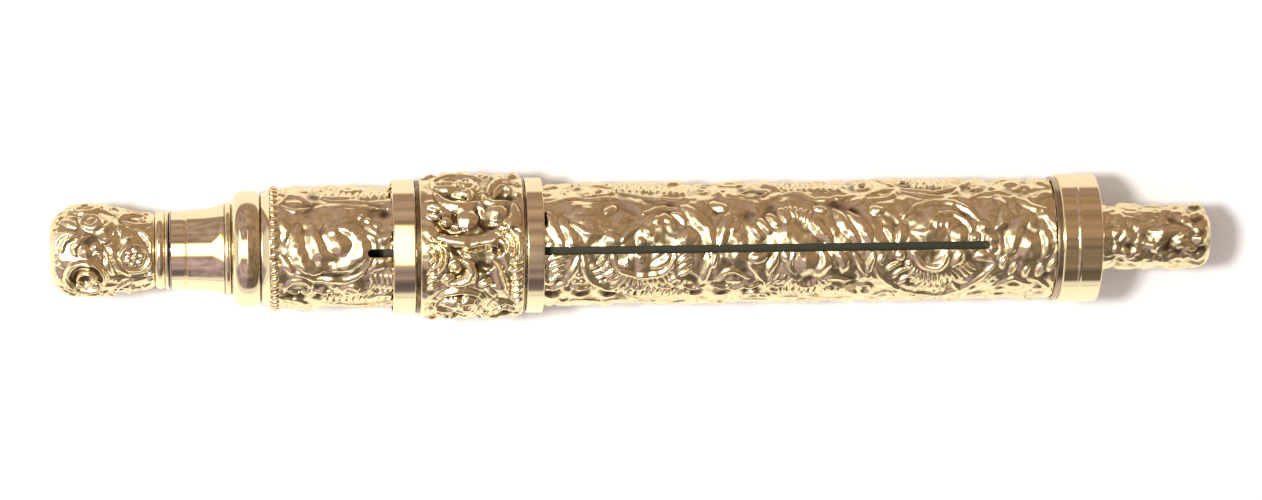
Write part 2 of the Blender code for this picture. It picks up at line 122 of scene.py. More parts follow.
class Value:
    """A node output that takes part in Python arithmetic."""

    def __init__(self, graph, socket):
        self.graph = graph
        self.socket = socket

    def __add__(self, other):
        return self.graph.math("ADD", self, other)

    def __radd__(self, other):
        return self.graph.math("ADD", other, self)

    def __sub__(self, other):
        return self.graph.math("SUBTRACT", self, other)

    def __rsub__(self, other):
        return self.graph.math("SUBTRACT", other, self)

    def __mul__(self, other):
        return self.graph.math("MULTIPLY", self, other)

    def __rmul__(self, other):
        return self.graph.math("MULTIPLY", other, self)

    def __truediv__(self, other):
        return self.graph.math("DIVIDE", self, other)

    def __rtruediv__(self, other):
        return self.graph.math("DIVIDE", other, self)

    def __pow__(self, other):
        return self.graph.math("POWER", self, other)

    def __abs__(self):
        return self.graph.math("ABSOLUTE", self)


class Graph:
    """A node tree that is written with expressions."""

    def __init__(self, tree):
        self.tree = tree

    def node(self, kind, settings=None, values=None, out=0):
        """Add a node: its settings first, then the values or links of its sockets, by name or index.

        The answer is the output of this name or index, or a list of all outputs where out is None.
        """
        item = self.tree.nodes.new(kind)
        for key, setting in (settings or {}).items():
            setattr(item, key, setting)
        for key, value in (values or {}).items():
            self.feed(item.inputs[key], value)
        if out is None:
            return [Value(self, socket) for socket in item.outputs]
        return Value(self, item.outputs[out])

    def feed(self, socket, value):
        """Link a value to a socket, or set a constant on it."""
        if isinstance(value, Value):
            self.tree.links.new(value.socket, socket)
        else:
            socket.default_value = value

    def math(self, operation, a, b=0.0):
        return self.node("ShaderNodeMath", {"operation": operation}, {0: a, 1: b})

    def clamp01(self, value):
        return self.node("ShaderNodeClamp", {}, {"Value": value, "Min": 0.0, "Max": 1.0})

    def largest(self, first, *others):
        for other in others:
            first = self.math("MAXIMUM", first, other)
        return first

    def mix(self, factor, a, b):
        """Mix two colours."""
        settings = {"data_type": "RGBA", "clamp_factor": True}
        return self.node("ShaderNodeMix", settings, {0: factor, 6: a, 7: b}, out=2)


def new_object(name, data):
    """An object with this data, in the scene."""
    obj = bpy.data.objects.new(name, data)
    bpy.context.scene.collection.objects.link(obj)
    return obj


def store(mesh, label, values):
    """Keep one number for each point of a mesh under this label."""
    attribute = mesh.attributes.new(label, "FLOAT", "POINT")
    attribute.data.foreach_set("value", np.asarray(values, np.float32))


# Ornament on unrolled surfaces, in millimetres: x runs along the pen, t round it, t = 0 on the slot.

def along(points, spacing=0.07):
    """Points spread evenly on a polyline, with how far along each one is, from 0 to 1."""
    points = np.asarray(points, float)
    steps = np.hypot(*np.diff(points, axis=0).T)
    reach = np.concatenate([[0.0], np.cumsum(steps)])
    count = max(2, int(reach[-1] / spacing) + 1)
    where = np.linspace(0.0, reach[-1], count)
    path = np.column_stack([np.interp(where, reach, points[:, i]) for i in range(2)])
    return path, where / max(reach[-1], 1e-9)


def bend(a, b, sag, count=24):
    """A curve from a to b that bows sideways by sag."""
    a = np.asarray(a, float)
    b = np.asarray(b, float)
    u = np.linspace(0.0, 1.0, count)[:, None]
    side = np.array([a[1] - b[1], b[0] - a[0]]) / max(np.hypot(*(b - a)), 1e-9)
    return a + (b - a) * u + side * sag * 4 * u * (1 - u)


def taper(u, start=0.35, end=0.35):
    """Width along a stroke: full in the middle, narrowing to these shares at the ends."""
    bell = np.sin(np.pi * u) ** 0.6
    return bell + (1 - bell) * (start + (end - start) * u)


def through(points, count=16):
    """A smooth curve through given points."""
    p = np.asarray(points, float)
    if len(p) == 2:
        return p
    p = np.vstack([2 * p[0] - p[1], p, 2 * p[-1] - p[-2]])
    u = np.linspace(0.0, 1.0, count, endpoint=False)[:, None]
    pieces = []
    for a, b, c, d in zip(p, p[1:], p[2:], p[3:]):
        square = 2 * a - 5 * b + 4 * c - d
        cube = 3 * b - a - 3 * c + d
        pieces.append(0.5 * (2 * b + (c - a) * u + square * u ** 2 + cube * u ** 3))
    return np.vstack(pieces + [p[-2:-1]])


class Ornament:
    """Strokes of relief, in layers that are raised one on another.

    Places were read in a perspective view, where what faces the eye stands further out from the eye's foot
    than it is by a small share, which is taken off again here.
    """

    # Station of the eye's foot, then how each layer's strokes are widened, thinned and deepened.
    EYE_FOOT = 16.7
    BOLD = {"swells": 1.0, "bosses": 1.3, "ridges": 2.0, "ribs": 1.35, "hollows": 1.2}
    SLIM = {"swells": 0.0, "bosses": 0.0, "ridges": 0.10, "ribs": 0.0, "hollows": 0.0}
    DEEP = {"swells": 1.3, "bosses": 1.0, "ridges": 1.2, "ribs": 1.2, "hollows": 1.0}
    THINNEST = 0.06

    # How far a small filling stroke bows, in sizes of it.
    BOW = 0.75

    # How much of the design is repeated past the back seam, and a point that raises nothing.
    OVERLAP = 4.0
    FLAT_POINT = (0.0, 99.0, 0.01, 0.0)

    def __init__(self, lean):
        self.layers = {layer: [] for layer in self.BOLD}
        self.shifts = [0.0]
        self.lean = lean

    def repeat(self, shifts):
        """Each later stroke is drawn once for every shift round the pen."""
        self.shifts = shifts

    def put(self, layer, points, widths, heights):
        points = np.asarray(points, float).reshape(-1, 2)
        straight = points[:, 0] - (points[:, 0] - self.EYE_FOOT) * self.lean
        widths = np.broadcast_to(widths, len(points)) * self.BOLD[layer] - self.SLIM[layer]
        widths = np.maximum(widths, self.THINNEST)
        heights = np.broadcast_to(heights, len(points)) * self.DEEP[layer]
        for shift in self.shifts:
            self.layers[layer].append(np.column_stack([straight, points[:, 1] + shift, widths, heights]))

    def stroke(self, layer, path, half_width, crest, start=0.35, end=0.35):
        points, u = along(path)
        share = taper(u, start, end)
        self.put(layer, points, half_width * (0.25 + 0.75 * share), crest * (0.15 + 0.85 * share))

    def path(self, points, half_width, crest, start=0.2, end=0.2):
        """A tapering ridge through given points."""
        self.stroke("ridges", through(points), half_width, crest, start, end)

    def hollow(self, points, half_width, depth, start=0.3, end=0.3):
        """A tapering hollow through the points given; its floor is painted dark, for dirt and painted shade.
        """
        self.stroke("hollows", through(points), half_width, depth, start, end)

    def rib(self, a, b, sag, half_width, crest):
        self.stroke("ribs", bend(a, b, sag), half_width, crest, 0.4, 0.4)

    def swell(self, x, t, radius, crest):
        """A broad soft rise, or a hollow where crest is negative."""
        self.put("swells", (x, t), radius, crest)

    def boss(self, x, t, radius, crest, reach=0.0, turn=0.0):
        """A firm dome, drawn out along one direction if reach is set."""
        if reach <= 0.0:
            self.put("bosses", (x, t), radius, crest)
            return
        step = reach * np.array([math.cos(math.radians(turn)), math.sin(math.radians(turn))])
        centre = np.array([x, t])
        self.stroke("bosses", [centre - step, centre + step], radius, crest, 0.85, 0.85)

    def bosses(self, crest, *places):
        for x, t, radius in places:
            self.boss(x, t, radius, crest)

    def arc(self, x, t, radius, start, end, half_width, crest, layer="ridges", squash=1.0, tips=0.3):
        angles = np.radians(np.linspace(start, end, 40))
        path = np.column_stack([x + radius * np.cos(angles), t + radius * squash * np.sin(angles)])
        self.stroke(layer, path, half_width, crest, tips, tips)

    def ring(self, x, t, radius, half_width, crest, squash=1.0):
        self.arc(x, t, radius, 0, 360, half_width, crest, squash=squash, tips=1.0)

    def scroll(self, x, t, outer, inner, start, turns, half_width, crest, eye=1.2):
        """A volute that winds in from its outer end and closes on a round eye."""
        angles = np.radians(start) + np.linspace(0.0, turns * 2 * np.pi, 90)
        radius = outer + (inner - outer) * np.linspace(0.0, 1.0, 90) ** 0.85
        path = np.column_stack([x + radius * np.cos(angles), t + radius * np.sin(angles)])
        self.stroke("ridges", path, half_width, crest, 0.25, 0.7)
        self.boss(x, t, inner * eye, crest)

    def fan(self, x, t, inner, outer, start, end, count, half_width, crest, lean=10.0):
        """Ribs that spread from a centre, each leaning a little."""
        for angle in np.linspace(start, end, count):
            a = math.radians(angle)
            b = math.radians(angle + lean)
            foot = (x + inner * math.cos(a), t + inner * math.sin(a))
            tip = (x + outer * math.cos(b), t + outer * math.sin(b))
            self.rib(foot, tip, 0.10, half_width, crest)

    def row(self, a, b, count, length, turn, half_width, crest):
        """Short parallel strokes set side by side from a to b."""
        a = np.asarray(a, float)
        b = np.asarray(b, float)
        step = length / 2 * np.array([math.cos(math.radians(turn)), math.sin(math.radians(turn))])
        for u in np.linspace(0.0, 1.0, count):
            centre = a + (b - a) * u
            self.rib(centre - step, centre + step, 0.12, half_width, crest)

    def fill(self, x_range, t_range, tries, seed, size, crest, period=0.0, window=(0.0, 0.0),
             bow=BOW, sweep=200):
        """Small leaves and commas in the ground that the larger strokes leave free."""
        random = np.random.default_rng(seed)
        taken = [self.layers[layer] for layer in ("ridges", "ribs", "bosses", "hollows")]
        taken = np.concatenate(sum(taken, []))
        self.shifts = [0.0]
        lean = self.lean
        self.lean = 0.0
        for _ in range(tries):
            x = random.uniform(*x_range)
            t = random.uniform(*t_range)
            turn = random.uniform(0.0, 360.0)
            if period and not window[0] < (t + period / 2) % period - period / 2 < window[1]:
                continue
            gap = np.hypot(taken[:, 0] - x, taken[:, 1] - t) - taken[:, 2] * 0.9
            if gap.min() < size:
                continue
            middle = math.radians(turn + sweep / 2)
            back = size * (bow - self.BOW)
            centre_x = x - back * math.cos(middle)
            centre_t = t - back * math.sin(middle)
            self.arc(centre_x, centre_t, size * bow, turn, turn + sweep, size * 0.42, crest, tips=0.15)
            taken = np.vstack([taken, [x, t, size, crest]])
        self.lean = lean

    def objects(self, name, half_turn):
        """One point-cloud object for each layer, repeated past the back seam so that strokes cross it."""
        result = {}
        for layer, strokes in self.layers.items():
            data = np.concatenate(strokes) if strokes else np.array([self.FLAT_POINT])
            data[:, 1] = (data[:, 1] + half_turn) % (2 * half_turn) - half_turn
            near = np.abs(data[:, 1]) > half_turn - self.OVERLAP
            copies = data[near].copy()
            copies[:, 1] -= np.sign(copies[:, 1]) * 2 * half_turn
            data = np.concatenate([data, copies])
            mesh = bpy.data.meshes.new(f"{name}_{layer}")
            spots = np.column_stack([data[:, 0], data[:, 1], np.zeros(len(data))]) * MM
            spots[:, 0] += ORIGIN_X
            mesh.from_pydata(spots.tolist(), [], [])
            store(mesh, "half_width", data[:, 2] * MM)
            store(mesh, "crest", data[:, 3] * MM)
            result[layer] = new_object(f"{name}_{layer}", mesh)
        return result


def new_tree(name, inputs):
    """The graph of a new Geometry Nodes tree, and its inputs by label, each from (label, kind, default)."""
    tree = bpy.data.node_groups.new(name, "GeometryNodeTree")
    for label, kind, default in inputs:
        item = tree.interface.new_socket(name=label, in_out="INPUT", socket_type="NodeSocket" + kind)
        if default is not None:
            item.default_value = default
    tree.interface.new_socket(name="Geometry", in_out="OUTPUT", socket_type="NodeSocketGeometry")
    graph = Graph(tree)
    given = {value.socket.name: value for value in graph.node("NodeGroupInput", out=None)}
    return graph, given


def close_tree(graph, geometry, finish):
    """End a tree with plain geometry in its finish."""
    real = graph.node("GeometryNodeRealizeInstances", {}, {"Geometry": geometry})
    done = graph.node("GeometryNodeSetMaterial", {}, {"Geometry": real, "Material": finish})
    graph.node("NodeGroupOutput", {}, {0: done}, None)
    return graph.tree


def set_inputs(modifier, values):
    """Set a Geometry Nodes modifier's inputs through their socket identifiers."""
    names = {item.name: item.identifier for item in modifier.node_group.interface.items_tree}
    for name, value in values.items():
        modifier[names[name]] = value


def repousse_tree():
    """Raises strokes on an unrolled sheet, then rolls the sheet round the pen's axis."""
    sizes = (
        ("Wrap Radius", 0.005),
        ("Axis Height", 0.006),
        ("Gain", 1.0),
        ("Chasing", 0.3),
        ("Waves", 0.00008),
        ("Wave Scale", 420.0),
        ("Wobble", 0.0003),
        ("Ditch Shade And Dirt", 0.4),
    )
    inputs = [("Geometry", "Geometry", None)]
    inputs += [(layer, "Object", None) for layer in ("Swells", "Bosses", "Ridges", "Ribs", "Hollows")]
    inputs += [(label, "Float", default) for label, default in sizes]
    inputs += [("Finish", "Material", None)]
    g, given = new_tree("repousse", inputs)

    def named(label):
        return g.node("GeometryNodeInputNamedAttribute", {"data_type": "FLOAT"}, {"Name": label})

    spot = g.node("GeometryNodeInputPosition")
    base = named("base_r")
    carved = named("carved")
    drift = g.node("ShaderNodeTexNoise", {}, {"Vector": spot, "Scale": 800.0, "Detail": 1.5}, "Color")
    drift = g.node("ShaderNodeVectorMath", {"operation": "SUBTRACT"}, {0: drift, 1: (0.5, 0.5, 0.5)})
    drift = g.node("ShaderNodeVectorMath", {"operation": "MULTIPLY"}, {0: drift, 1: (1.0, 1.0, 0.0)})
    drift = g.node("ShaderNodeVectorMath", {"operation": "SCALE"}, {0: drift, "Scale": given["Wobble"]})
    drawn = g.node("ShaderNodeVectorMath", {"operation": "ADD"}, {0: spot, 1: drift})

    def nearest(layer):
        """How far each point lies from the nearest stroke, in half widths, and that stroke's crest."""
        settings = {"transform_space": "ORIGINAL"}
        cloud = g.node("GeometryNodeObjectInfo", settings, {"Object": given[layer]}, "Geometry")
        settings = {"domain": "POINT"}
        index = g.node("GeometryNodeSampleNearest", settings, {"Geometry": cloud, "Sample Position": drawn})

        def sample(value, kind):
            settings = {"data_type": kind, "domain": "POINT"}
            values = {"Geometry": cloud, "Value": value, "Index": index}
            return g.node("GeometryNodeSampleIndex", settings, values)

        centre = sample(g.node("GeometryNodeInputPosition"), "FLOAT_VECTOR")
        away = g.node("ShaderNodeVectorMath", {"operation": "DISTANCE"}, {0: drawn, 1: centre}, "Value")
        return away / sample(named("half_width"), "FLOAT"), sample(named("crest"), "FLOAT")

    def dome(u, power):
        return g.largest(1 - u * u, 0.0) ** power

    def beside(u):
        """One in the ditch along a stroke, fading out over the ground next to it."""
        return g.clamp01(1.3 - abs(u - 0.95) / 0.3)

    def groove(u, middle, reach, crest):
        """The line that is cut along a stroke's edge."""
        return g.largest(1 - abs(u - middle) / reach, 0.0) ** 2.0 * crest

    swell_u, swell_crest = nearest("Swells")
    boss_u, boss_crest = nearest("Bosses")
    ridge_u, ridge_crest = nearest("Ridges")
    rib_u, rib_crest = nearest("Ribs")
    hollow_u, hollow_depth = nearest("Hollows")
    swell = swell_crest * dome(swell_u, 1.4)
    boss = boss_crest * dome(boss_u, 1.5)
    ridge = ridge_crest * dome(ridge_u, 2.0)
    rib = rib_crest * dome(rib_u, 1.8)
    ridge_cut = groove(ridge_u, 1.0, 0.45, ridge_crest)
    rib_cut = groove(rib_u, 1.0, 0.45, rib_crest)
    boss_cut = groove(boss_u, 1.05, 0.4, abs(boss_crest))
    cut = g.largest(ridge_cut, rib_cut, boss_cut) * given["Chasing"]
    # Painted shade and dirt: the pit attribute marks the ditch beside each stroke, scaled by the ditch input,
    # and the floor of each hollow; the gold finish darkens both.
    ditch = g.largest(beside(ridge_u), beside(rib_u), beside(boss_u))
    stroke = g.largest(ridge, rib, boss)
    covering = 0.00005
    darkest = 0.0002
    hidden = g.clamp01(stroke / covering)
    sunk = dome(hollow_u, 1.2) * (1 - hidden)
    cavity = g.clamp01(sunk * 1.8) * g.clamp01(hollow_depth / darkest)
    pit = g.largest(ditch * (1 - hidden) * given["Ditch Shade And Dirt"], cavity) * carved
    values = {"Vector": spot, "Scale": given["Wave Scale"], "Detail": 2.0}
    waves = g.node("ShaderNodeTexNoise", {}, values, "Fac")
    raised = stroke - cut + swell - hollow_depth * sunk
    relief = (raised * given["Gain"] + (waves - 0.5) * given["Waves"]) * carved

    x, t = g.node("ShaderNodeSeparateXYZ", {}, {0: spot}, None)[:2]
    angle = t / given["Wrap Radius"]
    radius = base + relief
    rolled_y = radius * g.math("SINE", angle)
    rolled_z = given["Axis Height"] + radius * g.math("COSINE", angle)
    rolled = g.node("ShaderNodeCombineXYZ", {}, {"X": x, "Y": rolled_y, "Z": rolled_z})

    kept = given["Geometry"]
    for label, value in (("relief", relief * 1000.0), ("pit", pit)):
        settings = {"data_type": "FLOAT", "domain": "POINT"}
        values = {"Geometry": kept, "Name": label, "Value": value}
        kept = g.node("GeometryNodeStoreNamedAttribute", settings, values)
    shaped = g.node("GeometryNodeSetPosition", {}, {"Geometry": kept, "Position": rolled})
    return close_tree(g, shaped, given["Finish"])


def evaluated_mesh(obj):
    """Turn an object with modifiers into a plain mesh."""
    graph = bpy.context.evaluated_depsgraph_get()
    shown = obj.evaluated_get(graph)
    mesh = bpy.data.meshes.new_from_object(shown, preserve_all_data_layers=True, depsgraph=graph)
    obj.modifiers.clear()
    obj.data = mesh
    return mesh


def smooth_by_angle(mesh, degrees):
    """Smooth shading that keeps edges sharper than this angle crisp."""
    mesh.polygons.foreach_set("use_smooth", np.ones(len(mesh.polygons), bool))
    bm = bmesh.new()
    bm.from_mesh(mesh)
    limit = math.radians(degrees)
    for edge in bm.edges:
        edge.smooth = len(edge.link_faces) == 2 and edge.calc_face_angle(0.0) < limit
    bm.to_mesh(mesh)
    bm.free()


def settle(obj, body, slot, *nodes):
    """Parent a finished piece to its body and hide the CAD nodes it stands for."""
    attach(obj, body)
    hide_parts(*nodes)
    return obj


def spread(count, front_share=0.66, front_half=100.0):
    """Angles round the pen in radians, closer together on the side with the slot."""
    front = int(count * front_share)
    back = count - front
    half = math.radians(front_half)
    a = np.linspace(-half, half, front, endpoint=False)
    b = np.linspace(half, 2 * np.pi - half, back, endpoint=False)
    angles = np.concatenate([a, b])
    return np.where(angles > np.pi, angles - 2 * np.pi, angles)


def sheet(name, outline, angles, wrap_r):
    """An unrolled closed surface from an outline of (x, radius, carved) in millimetres."""
    outline = np.asarray(outline, float)
    rows = len(outline)
    columns = len(angles)
    x = np.repeat(outline[:, 0], columns) * MM + ORIGIN_X
    t = np.tile(angles * wrap_r, rows) * MM
    verts = np.column_stack([x, t, np.zeros(rows * columns)])
    i, j = np.meshgrid(np.arange(rows), np.arange(columns), indexing="ij")
    k = (i + 1) % rows
    m = (j + 1) % columns
    corners = [i * columns + j, i * columns + m, k * columns + m, k * columns + j]
    quads = np.stack(corners, axis=-1).reshape(-1, 4)
    mesh = bpy.data.meshes.new(name)
    mesh.vertices.add(len(verts))
    mesh.vertices.foreach_set("co", verts.ravel())
    mesh.loops.add(quads.size)
    mesh.loops.foreach_set("vertex_index", quads.ravel())
    mesh.polygons.add(len(quads))
    mesh.polygons.foreach_set("loop_start", np.arange(0, quads.size, 4))
    mesh.update()
    store(mesh, "base_r", np.repeat(outline[:, 1], columns) * MM)
    store(mesh, "carved", np.repeat(outline[:, 2], columns))
    return mesh


def mend(mesh, merge=0.0):
    """Turn a closed mesh's faces outwards, after points closer than merge are joined."""
    bm = bmesh.new()
    bm.from_mesh(mesh)
    if merge:
        bmesh.ops.remove_doubles(bm, verts=bm.verts, dist=merge)
    bmesh.ops.recalc_face_normals(bm, faces=bm.faces)
    bm.to_mesh(mesh)
    bm.free()


def chased(name, outline, angles, wrap_r, ornament, gain=0.76, chasing=0.08, waves=0.70, wobble=0.4,
           wave_scale=420.0, ditch_shade_and_dirt=0.4):
    """A chased piece: the sheet with its ornament raised, rolled up and made a plain mesh."""
    obj = new_object(name, sheet(name, outline, angles, wrap_r))
    clouds = ornament.objects(name, math.pi * wrap_r)
    modifier = obj.modifiers.new("repousse", "NODES")
    modifier.node_group = REPOUSSE
    set_inputs(modifier, {layer.capitalize(): cloud for layer, cloud in clouds.items()})
    set_inputs(modifier, {
        "Wrap Radius": wrap_r * MM,
        "Axis Height": AXIS_Z,
        "Gain": gain,
        "Chasing": chasing,
        "Waves": waves * MM,
        "Wave Scale": wave_scale,
        "Wobble": wobble * MM,
        "Ditch Shade And Dirt": ditch_shade_and_dirt,
        "Finish": CHASED,
    })
    mesh = evaluated_mesh(obj)
    for cloud in clouds.values():
        points = cloud.data
        bpy.data.objects.remove(cloud)
        bpy.data.meshes.remove(points)
    mesh.materials.clear()
    mesh.materials.append(CHASED)
    mend(mesh)
    return obj


def braced(outline, hold=0.03, long_run=0.2):
    """The same outline with points close to both ends of each long run, which keep its shading straight."""
    points = []
    for a, b in zip(outline, outline[1:] + outline[:1]):
        points.append(a)
        reach = math.hypot(b[0] - a[0], b[1] - a[1])
        if reach > long_run:
            for share in (hold / reach, 1 - hold / reach):
                points.append((a[0] + (b[0] - a[0]) * share, a[1] + (b[1] - a[1]) * share))
    return points


def turned(name, outline, finish, seams=(), segments=160, sharp=25):
    """A plain turned piece from a closed outline of (x, radius) in millimetres.

    Each seam is a start, an end and how dark the metal is painted between them, for dirt and shade in grooves
    and gaps.
    """
    outline = np.asarray(braced(outline), float)
    bm = bmesh.new()
    rings = []
    for x, r in outline:
        ring = []
        for j in range(segments):
            a = 2 * math.pi * j / segments
            spot = (ORIGIN_X + x * MM, r * MM * math.sin(a), AXIS_Z + r * MM * math.cos(a))
            ring.append(bm.verts.new(spot))
        rings.append(ring)
    for ring, following in zip(rings, rings[1:] + rings[:1]):
        for j in range(segments):
            m = (j + 1) % segments
            bm.faces.new((ring[j], ring[m], following[m], following[j]))
    bmesh.ops.recalc_face_normals(bm, faces=bm.faces)
    mesh = bpy.data.meshes.new(name)
    bm.to_mesh(mesh)
    bm.free()
    dark = np.zeros(len(outline))
    for start, end, depth in seams:
        outside = outline[:, 1] > outline[:, 1].max() * 0.7
        dark[(outline[:, 0] > start) & (outline[:, 0] < end) & outside] = depth
    store(mesh, "seam", np.repeat(dark, segments))
    mesh.materials.append(finish)
    smooth_by_angle(mesh, sharp)
    return new_object(name, mesh)


def half_ellipse(x, r, size_x, size_r, start, end, count):
    """Points on an ellipse in the outline's plane, from one angle to another in degrees."""
    angles = np.radians(np.linspace(start, end, count))
    return [(x + size_x * math.cos(a), r + size_r * math.sin(a)) for a in angles]


# Materials.

def new_material(name):
    """A material with its graph and its Principled shader."""
    material = bpy.data.materials.new(name)
    material.use_nodes = True
    graph = Graph(material.node_tree)
    shader = material.node_tree.nodes["Principled BSDF"]
    return material, graph, shader


def noise(graph, scale, detail=3.0, stretch=None):
    """Noise on Object coordinates."""
    where = graph.node("ShaderNodeTexCoord", {}, {}, "Object")
    if stretch:
        where = graph.node("ShaderNodeMapping", {}, {"Vector": where, "Scale": stretch})
    return graph.node("ShaderNodeTexNoise", {}, {"Vector": where, "Scale": scale, "Detail": detail}, "Fac")


def chased_gold():
    """Worn gold, darker where the relief lies low and on the pit marks: dirt and painted shade in the
    recesses.
    """
    material, g, shader = new_material("chased_gold")
    relief = g.node("ShaderNodeAttribute", {"attribute_name": "relief"}, {}, "Fac")
    pit = g.node("ShaderNodeAttribute", {"attribute_name": "pit"}, {}, "Fac")
    patch = noise(g, 900.0)
    # Painted shade and dirt: the base colour darkens towards dark brown in low relief and where the pit
    # attribute marks ditches and hollows.
    low = g.clamp01((-0.02 - relief) / 0.10)
    grime_and_shade = g.clamp01(g.largest(pit, low) * (0.5 + patch * 0.8))
    gold = (0.97, 0.825, 0.52, 1.0)
    dirt_and_shade_tint = (0.165, 0.112, 0.058, 1.0)
    g.feed(shader.inputs["Base Color"], g.mix(grime_and_shade, gold, dirt_and_shade_tint))
    g.feed(shader.inputs["Roughness"], 0.17 + grime_and_shade * 0.14 + (patch - 0.5) * 0.06)
    shader.inputs["Metallic"].default_value = 1.0
    grain = noise(g, 5200.0, 2.0)
    bump = g.node("ShaderNodeBump", {}, {"Strength": 0.08, "Distance": 0.00005, "Height": grain})
    g.feed(shader.inputs["Normal"], bump)
    return material


def polished_gold():
    """Bright gold with faint turning marks, painted dark in its seams: dirt and painted shade in the grooves
    and gaps.
    """
    material, g, shader = new_material("polished_gold")
    streak = noise(g, 700.0, 4.0, (0.25, 1.0, 1.0))
    seam = g.node("ShaderNodeAttribute", {"attribute_name": "seam"}, {}, "Fac")
    pale = (0.95, 0.81, 0.54, 1.0)
    warm = (0.98, 0.86, 0.58, 1.0)
    dirt_and_shade_tint = (0.16, 0.11, 0.06, 1.0)
    clean = g.mix(streak, pale, warm)
    # Painted shade and dirt: the seam attribute darkens grooves and gaps between parts.
    g.feed(shader.inputs["Base Color"], g.mix(seam, clean, dirt_and_shade_tint))
    g.feed(shader.inputs["Roughness"], 0.035 + streak * 0.05 + seam * 0.25)
    shader.inputs["Metallic"].default_value = 1.0
    return material


def plain_metal(name, colour, roughness, metallic=1.0):
    """A finish that is a little darker in patches."""
    material, g, shader = new_material(name)
    patch = noise(g, 1200.0)
    dark = tuple(c * 0.7 for c in colour[:3]) + (1.0,)
    g.feed(shader.inputs["Base Color"], g.mix(patch, dark, colour))
    g.feed(shader.inputs["Roughness"], roughness + (patch - 0.5) * 0.15)
    shader.inputs["Metallic"].default_value = metallic
    return material


CHASED = chased_gold()
POLISHED = polished_gold()
NIB_GOLD = plain_metal("nib_gold", (0.95, 0.78, 0.48, 1.0), 0.16)
# Near-black brass for the works inside the barrel: partly tarnish, partly painted shade, so that what shows
# through the slot and the mouth stays dark.
OXIDISED_AND_SHADED = plain_metal("oxidised_and_shaded_brass", (0.05, 0.05, 0.032, 1.0), 0.5, 0.7)
STEEL = plain_metal("steel", (0.55, 0.54, 0.52, 1.0), 0.35)
GRAPHITE = plain_metal("graphite", (0.06, 0.06, 0.065, 1.0), 0.5, 0.2)
REPOUSSE = repousse_tree()


# Chased pieces.

def around(circumference):
    """Shifts that repeat a design evenly round the pen."""
    return [circumference * k / REPEATS for k in range(REPEATS)]


def volute_panel(o):
    """Snail volute behind the thumb ring."""
    o.swell(23.4, 0.9, 3.9, 0.10)
    o.path([(24.2, 2.3), (25.5, 1.8), (26.0, 0.6), (25.3, -0.8), (23.7, -1.3)], 0.50, 0.28)
    o.path([(21.9, 2.4), (22.0, 1.1), (22.6, 0.1), (23.7, -0.4)], 0.42, 0.25)
    o.path([(22.4, -1.6), (21.1, -1.1), (20.5, -0.1), (20.4, 1.0), (20.7, 2.3)], 0.62, 0.21)
    o.boss(24.1, 0.75, 0.80, 0.30)
    o.path([(20.4, -1.6), (21.8, -2.2), (23.5, -2.5), (25.2, -2.3), (26.3, -1.5), (26.9, -0.4)], 0.24, 0.13)
    o.hollow([(20.7, -0.5), (21.7, -1.5), (23.2, -1.95), (24.8, -1.7)], 0.36, 0.20)
    o.hollow([(23.0, 2.6), (22.7, 1.6), (23.0, 0.8)], 0.22, 0.12)
    o.bosses(0.2, (26.0, 3.2, 0.24), (26.6, 2.9, 0.27), (27.3, 2.4, 0.30))
    o.boss(28.0, 1.3, 0.40, 0.26, 0.35, 25)
    o.rib((26.3, 2.3), (27.4, 1.6), 0.1, 0.22, 0.2)
    o.rib((26.5, 1.6), (27.3, 1.0), 0.1, 0.22, 0.2)
    o.path([(26.6, -1.7), (27.2, -1.05), (28.1, -0.6)], 0.48, 0.26)
    for k in range(6):
        o.path([(26.7 + 0.43 * k, -1.9), (27.0 + 0.43 * k, -2.7), (26.6 + 0.43 * k, -3.6)], 0.21, 0.20)
    o.ring(25.0, -3.6, 0.62, 0.26, 0.20, 0.85)
    o.bosses(0.2, (23.6, -3.2, 0.34), (22.7, -3.5, 0.3), (26.0, -3.9, 0.26))
    o.path([(19.4, -3.9), (19.8, -2.8), (20.8, -2.4), (21.6, -3.0), (21.4, -3.9), (20.7, -3.7)], 0.26, 0.22)
    o.path([(19.2, -0.1), (19.7, -0.9), (20.3, -1.7)], 0.34, 0.24)
    o.path([(19.2, 3.0), (19.6, 2.1), (19.5, 1.2)], 0.30, 0.20)
    o.path([(18.9, -4.4), (20.2, -4.9), (21.8, -5.6)], 0.24, 0.17)
    o.path([(21.8, -4.5), (23.6, -5.1), (25.8, -4.9)], 0.28, 0.17)
    o.path([(26.0, -4.7), (27.5, -4.3), (29.0, -4.5)], 0.24, 0.16)
    # Eye leaf and ribbed border over the volute.
    o.path([(19.2, 4.7), (20.2, 5.9), (21.5, 5.2), (21.9, 4.5)], 0.20, 0.18)
    o.path([(19.3, 4.4), (20.5, 3.9), (21.8, 4.4)], 0.20, 0.18)
    o.boss(20.4, 4.9, 0.40, 0.18, 0.3, 10)
    o.path([(22.0, 6.0), (23.7, 5.1), (26.2, 5.0), (29.2, 4.9)], 0.17, 0.16)
    o.row((22.9, 6.1), (29.0, 6.0), 12, 1.0, 75, 0.22, 0.18)
    o.path([(22.2, 4.3), (24.8, 4.4), (29.0, 4.1)], 0.15, 0.13)


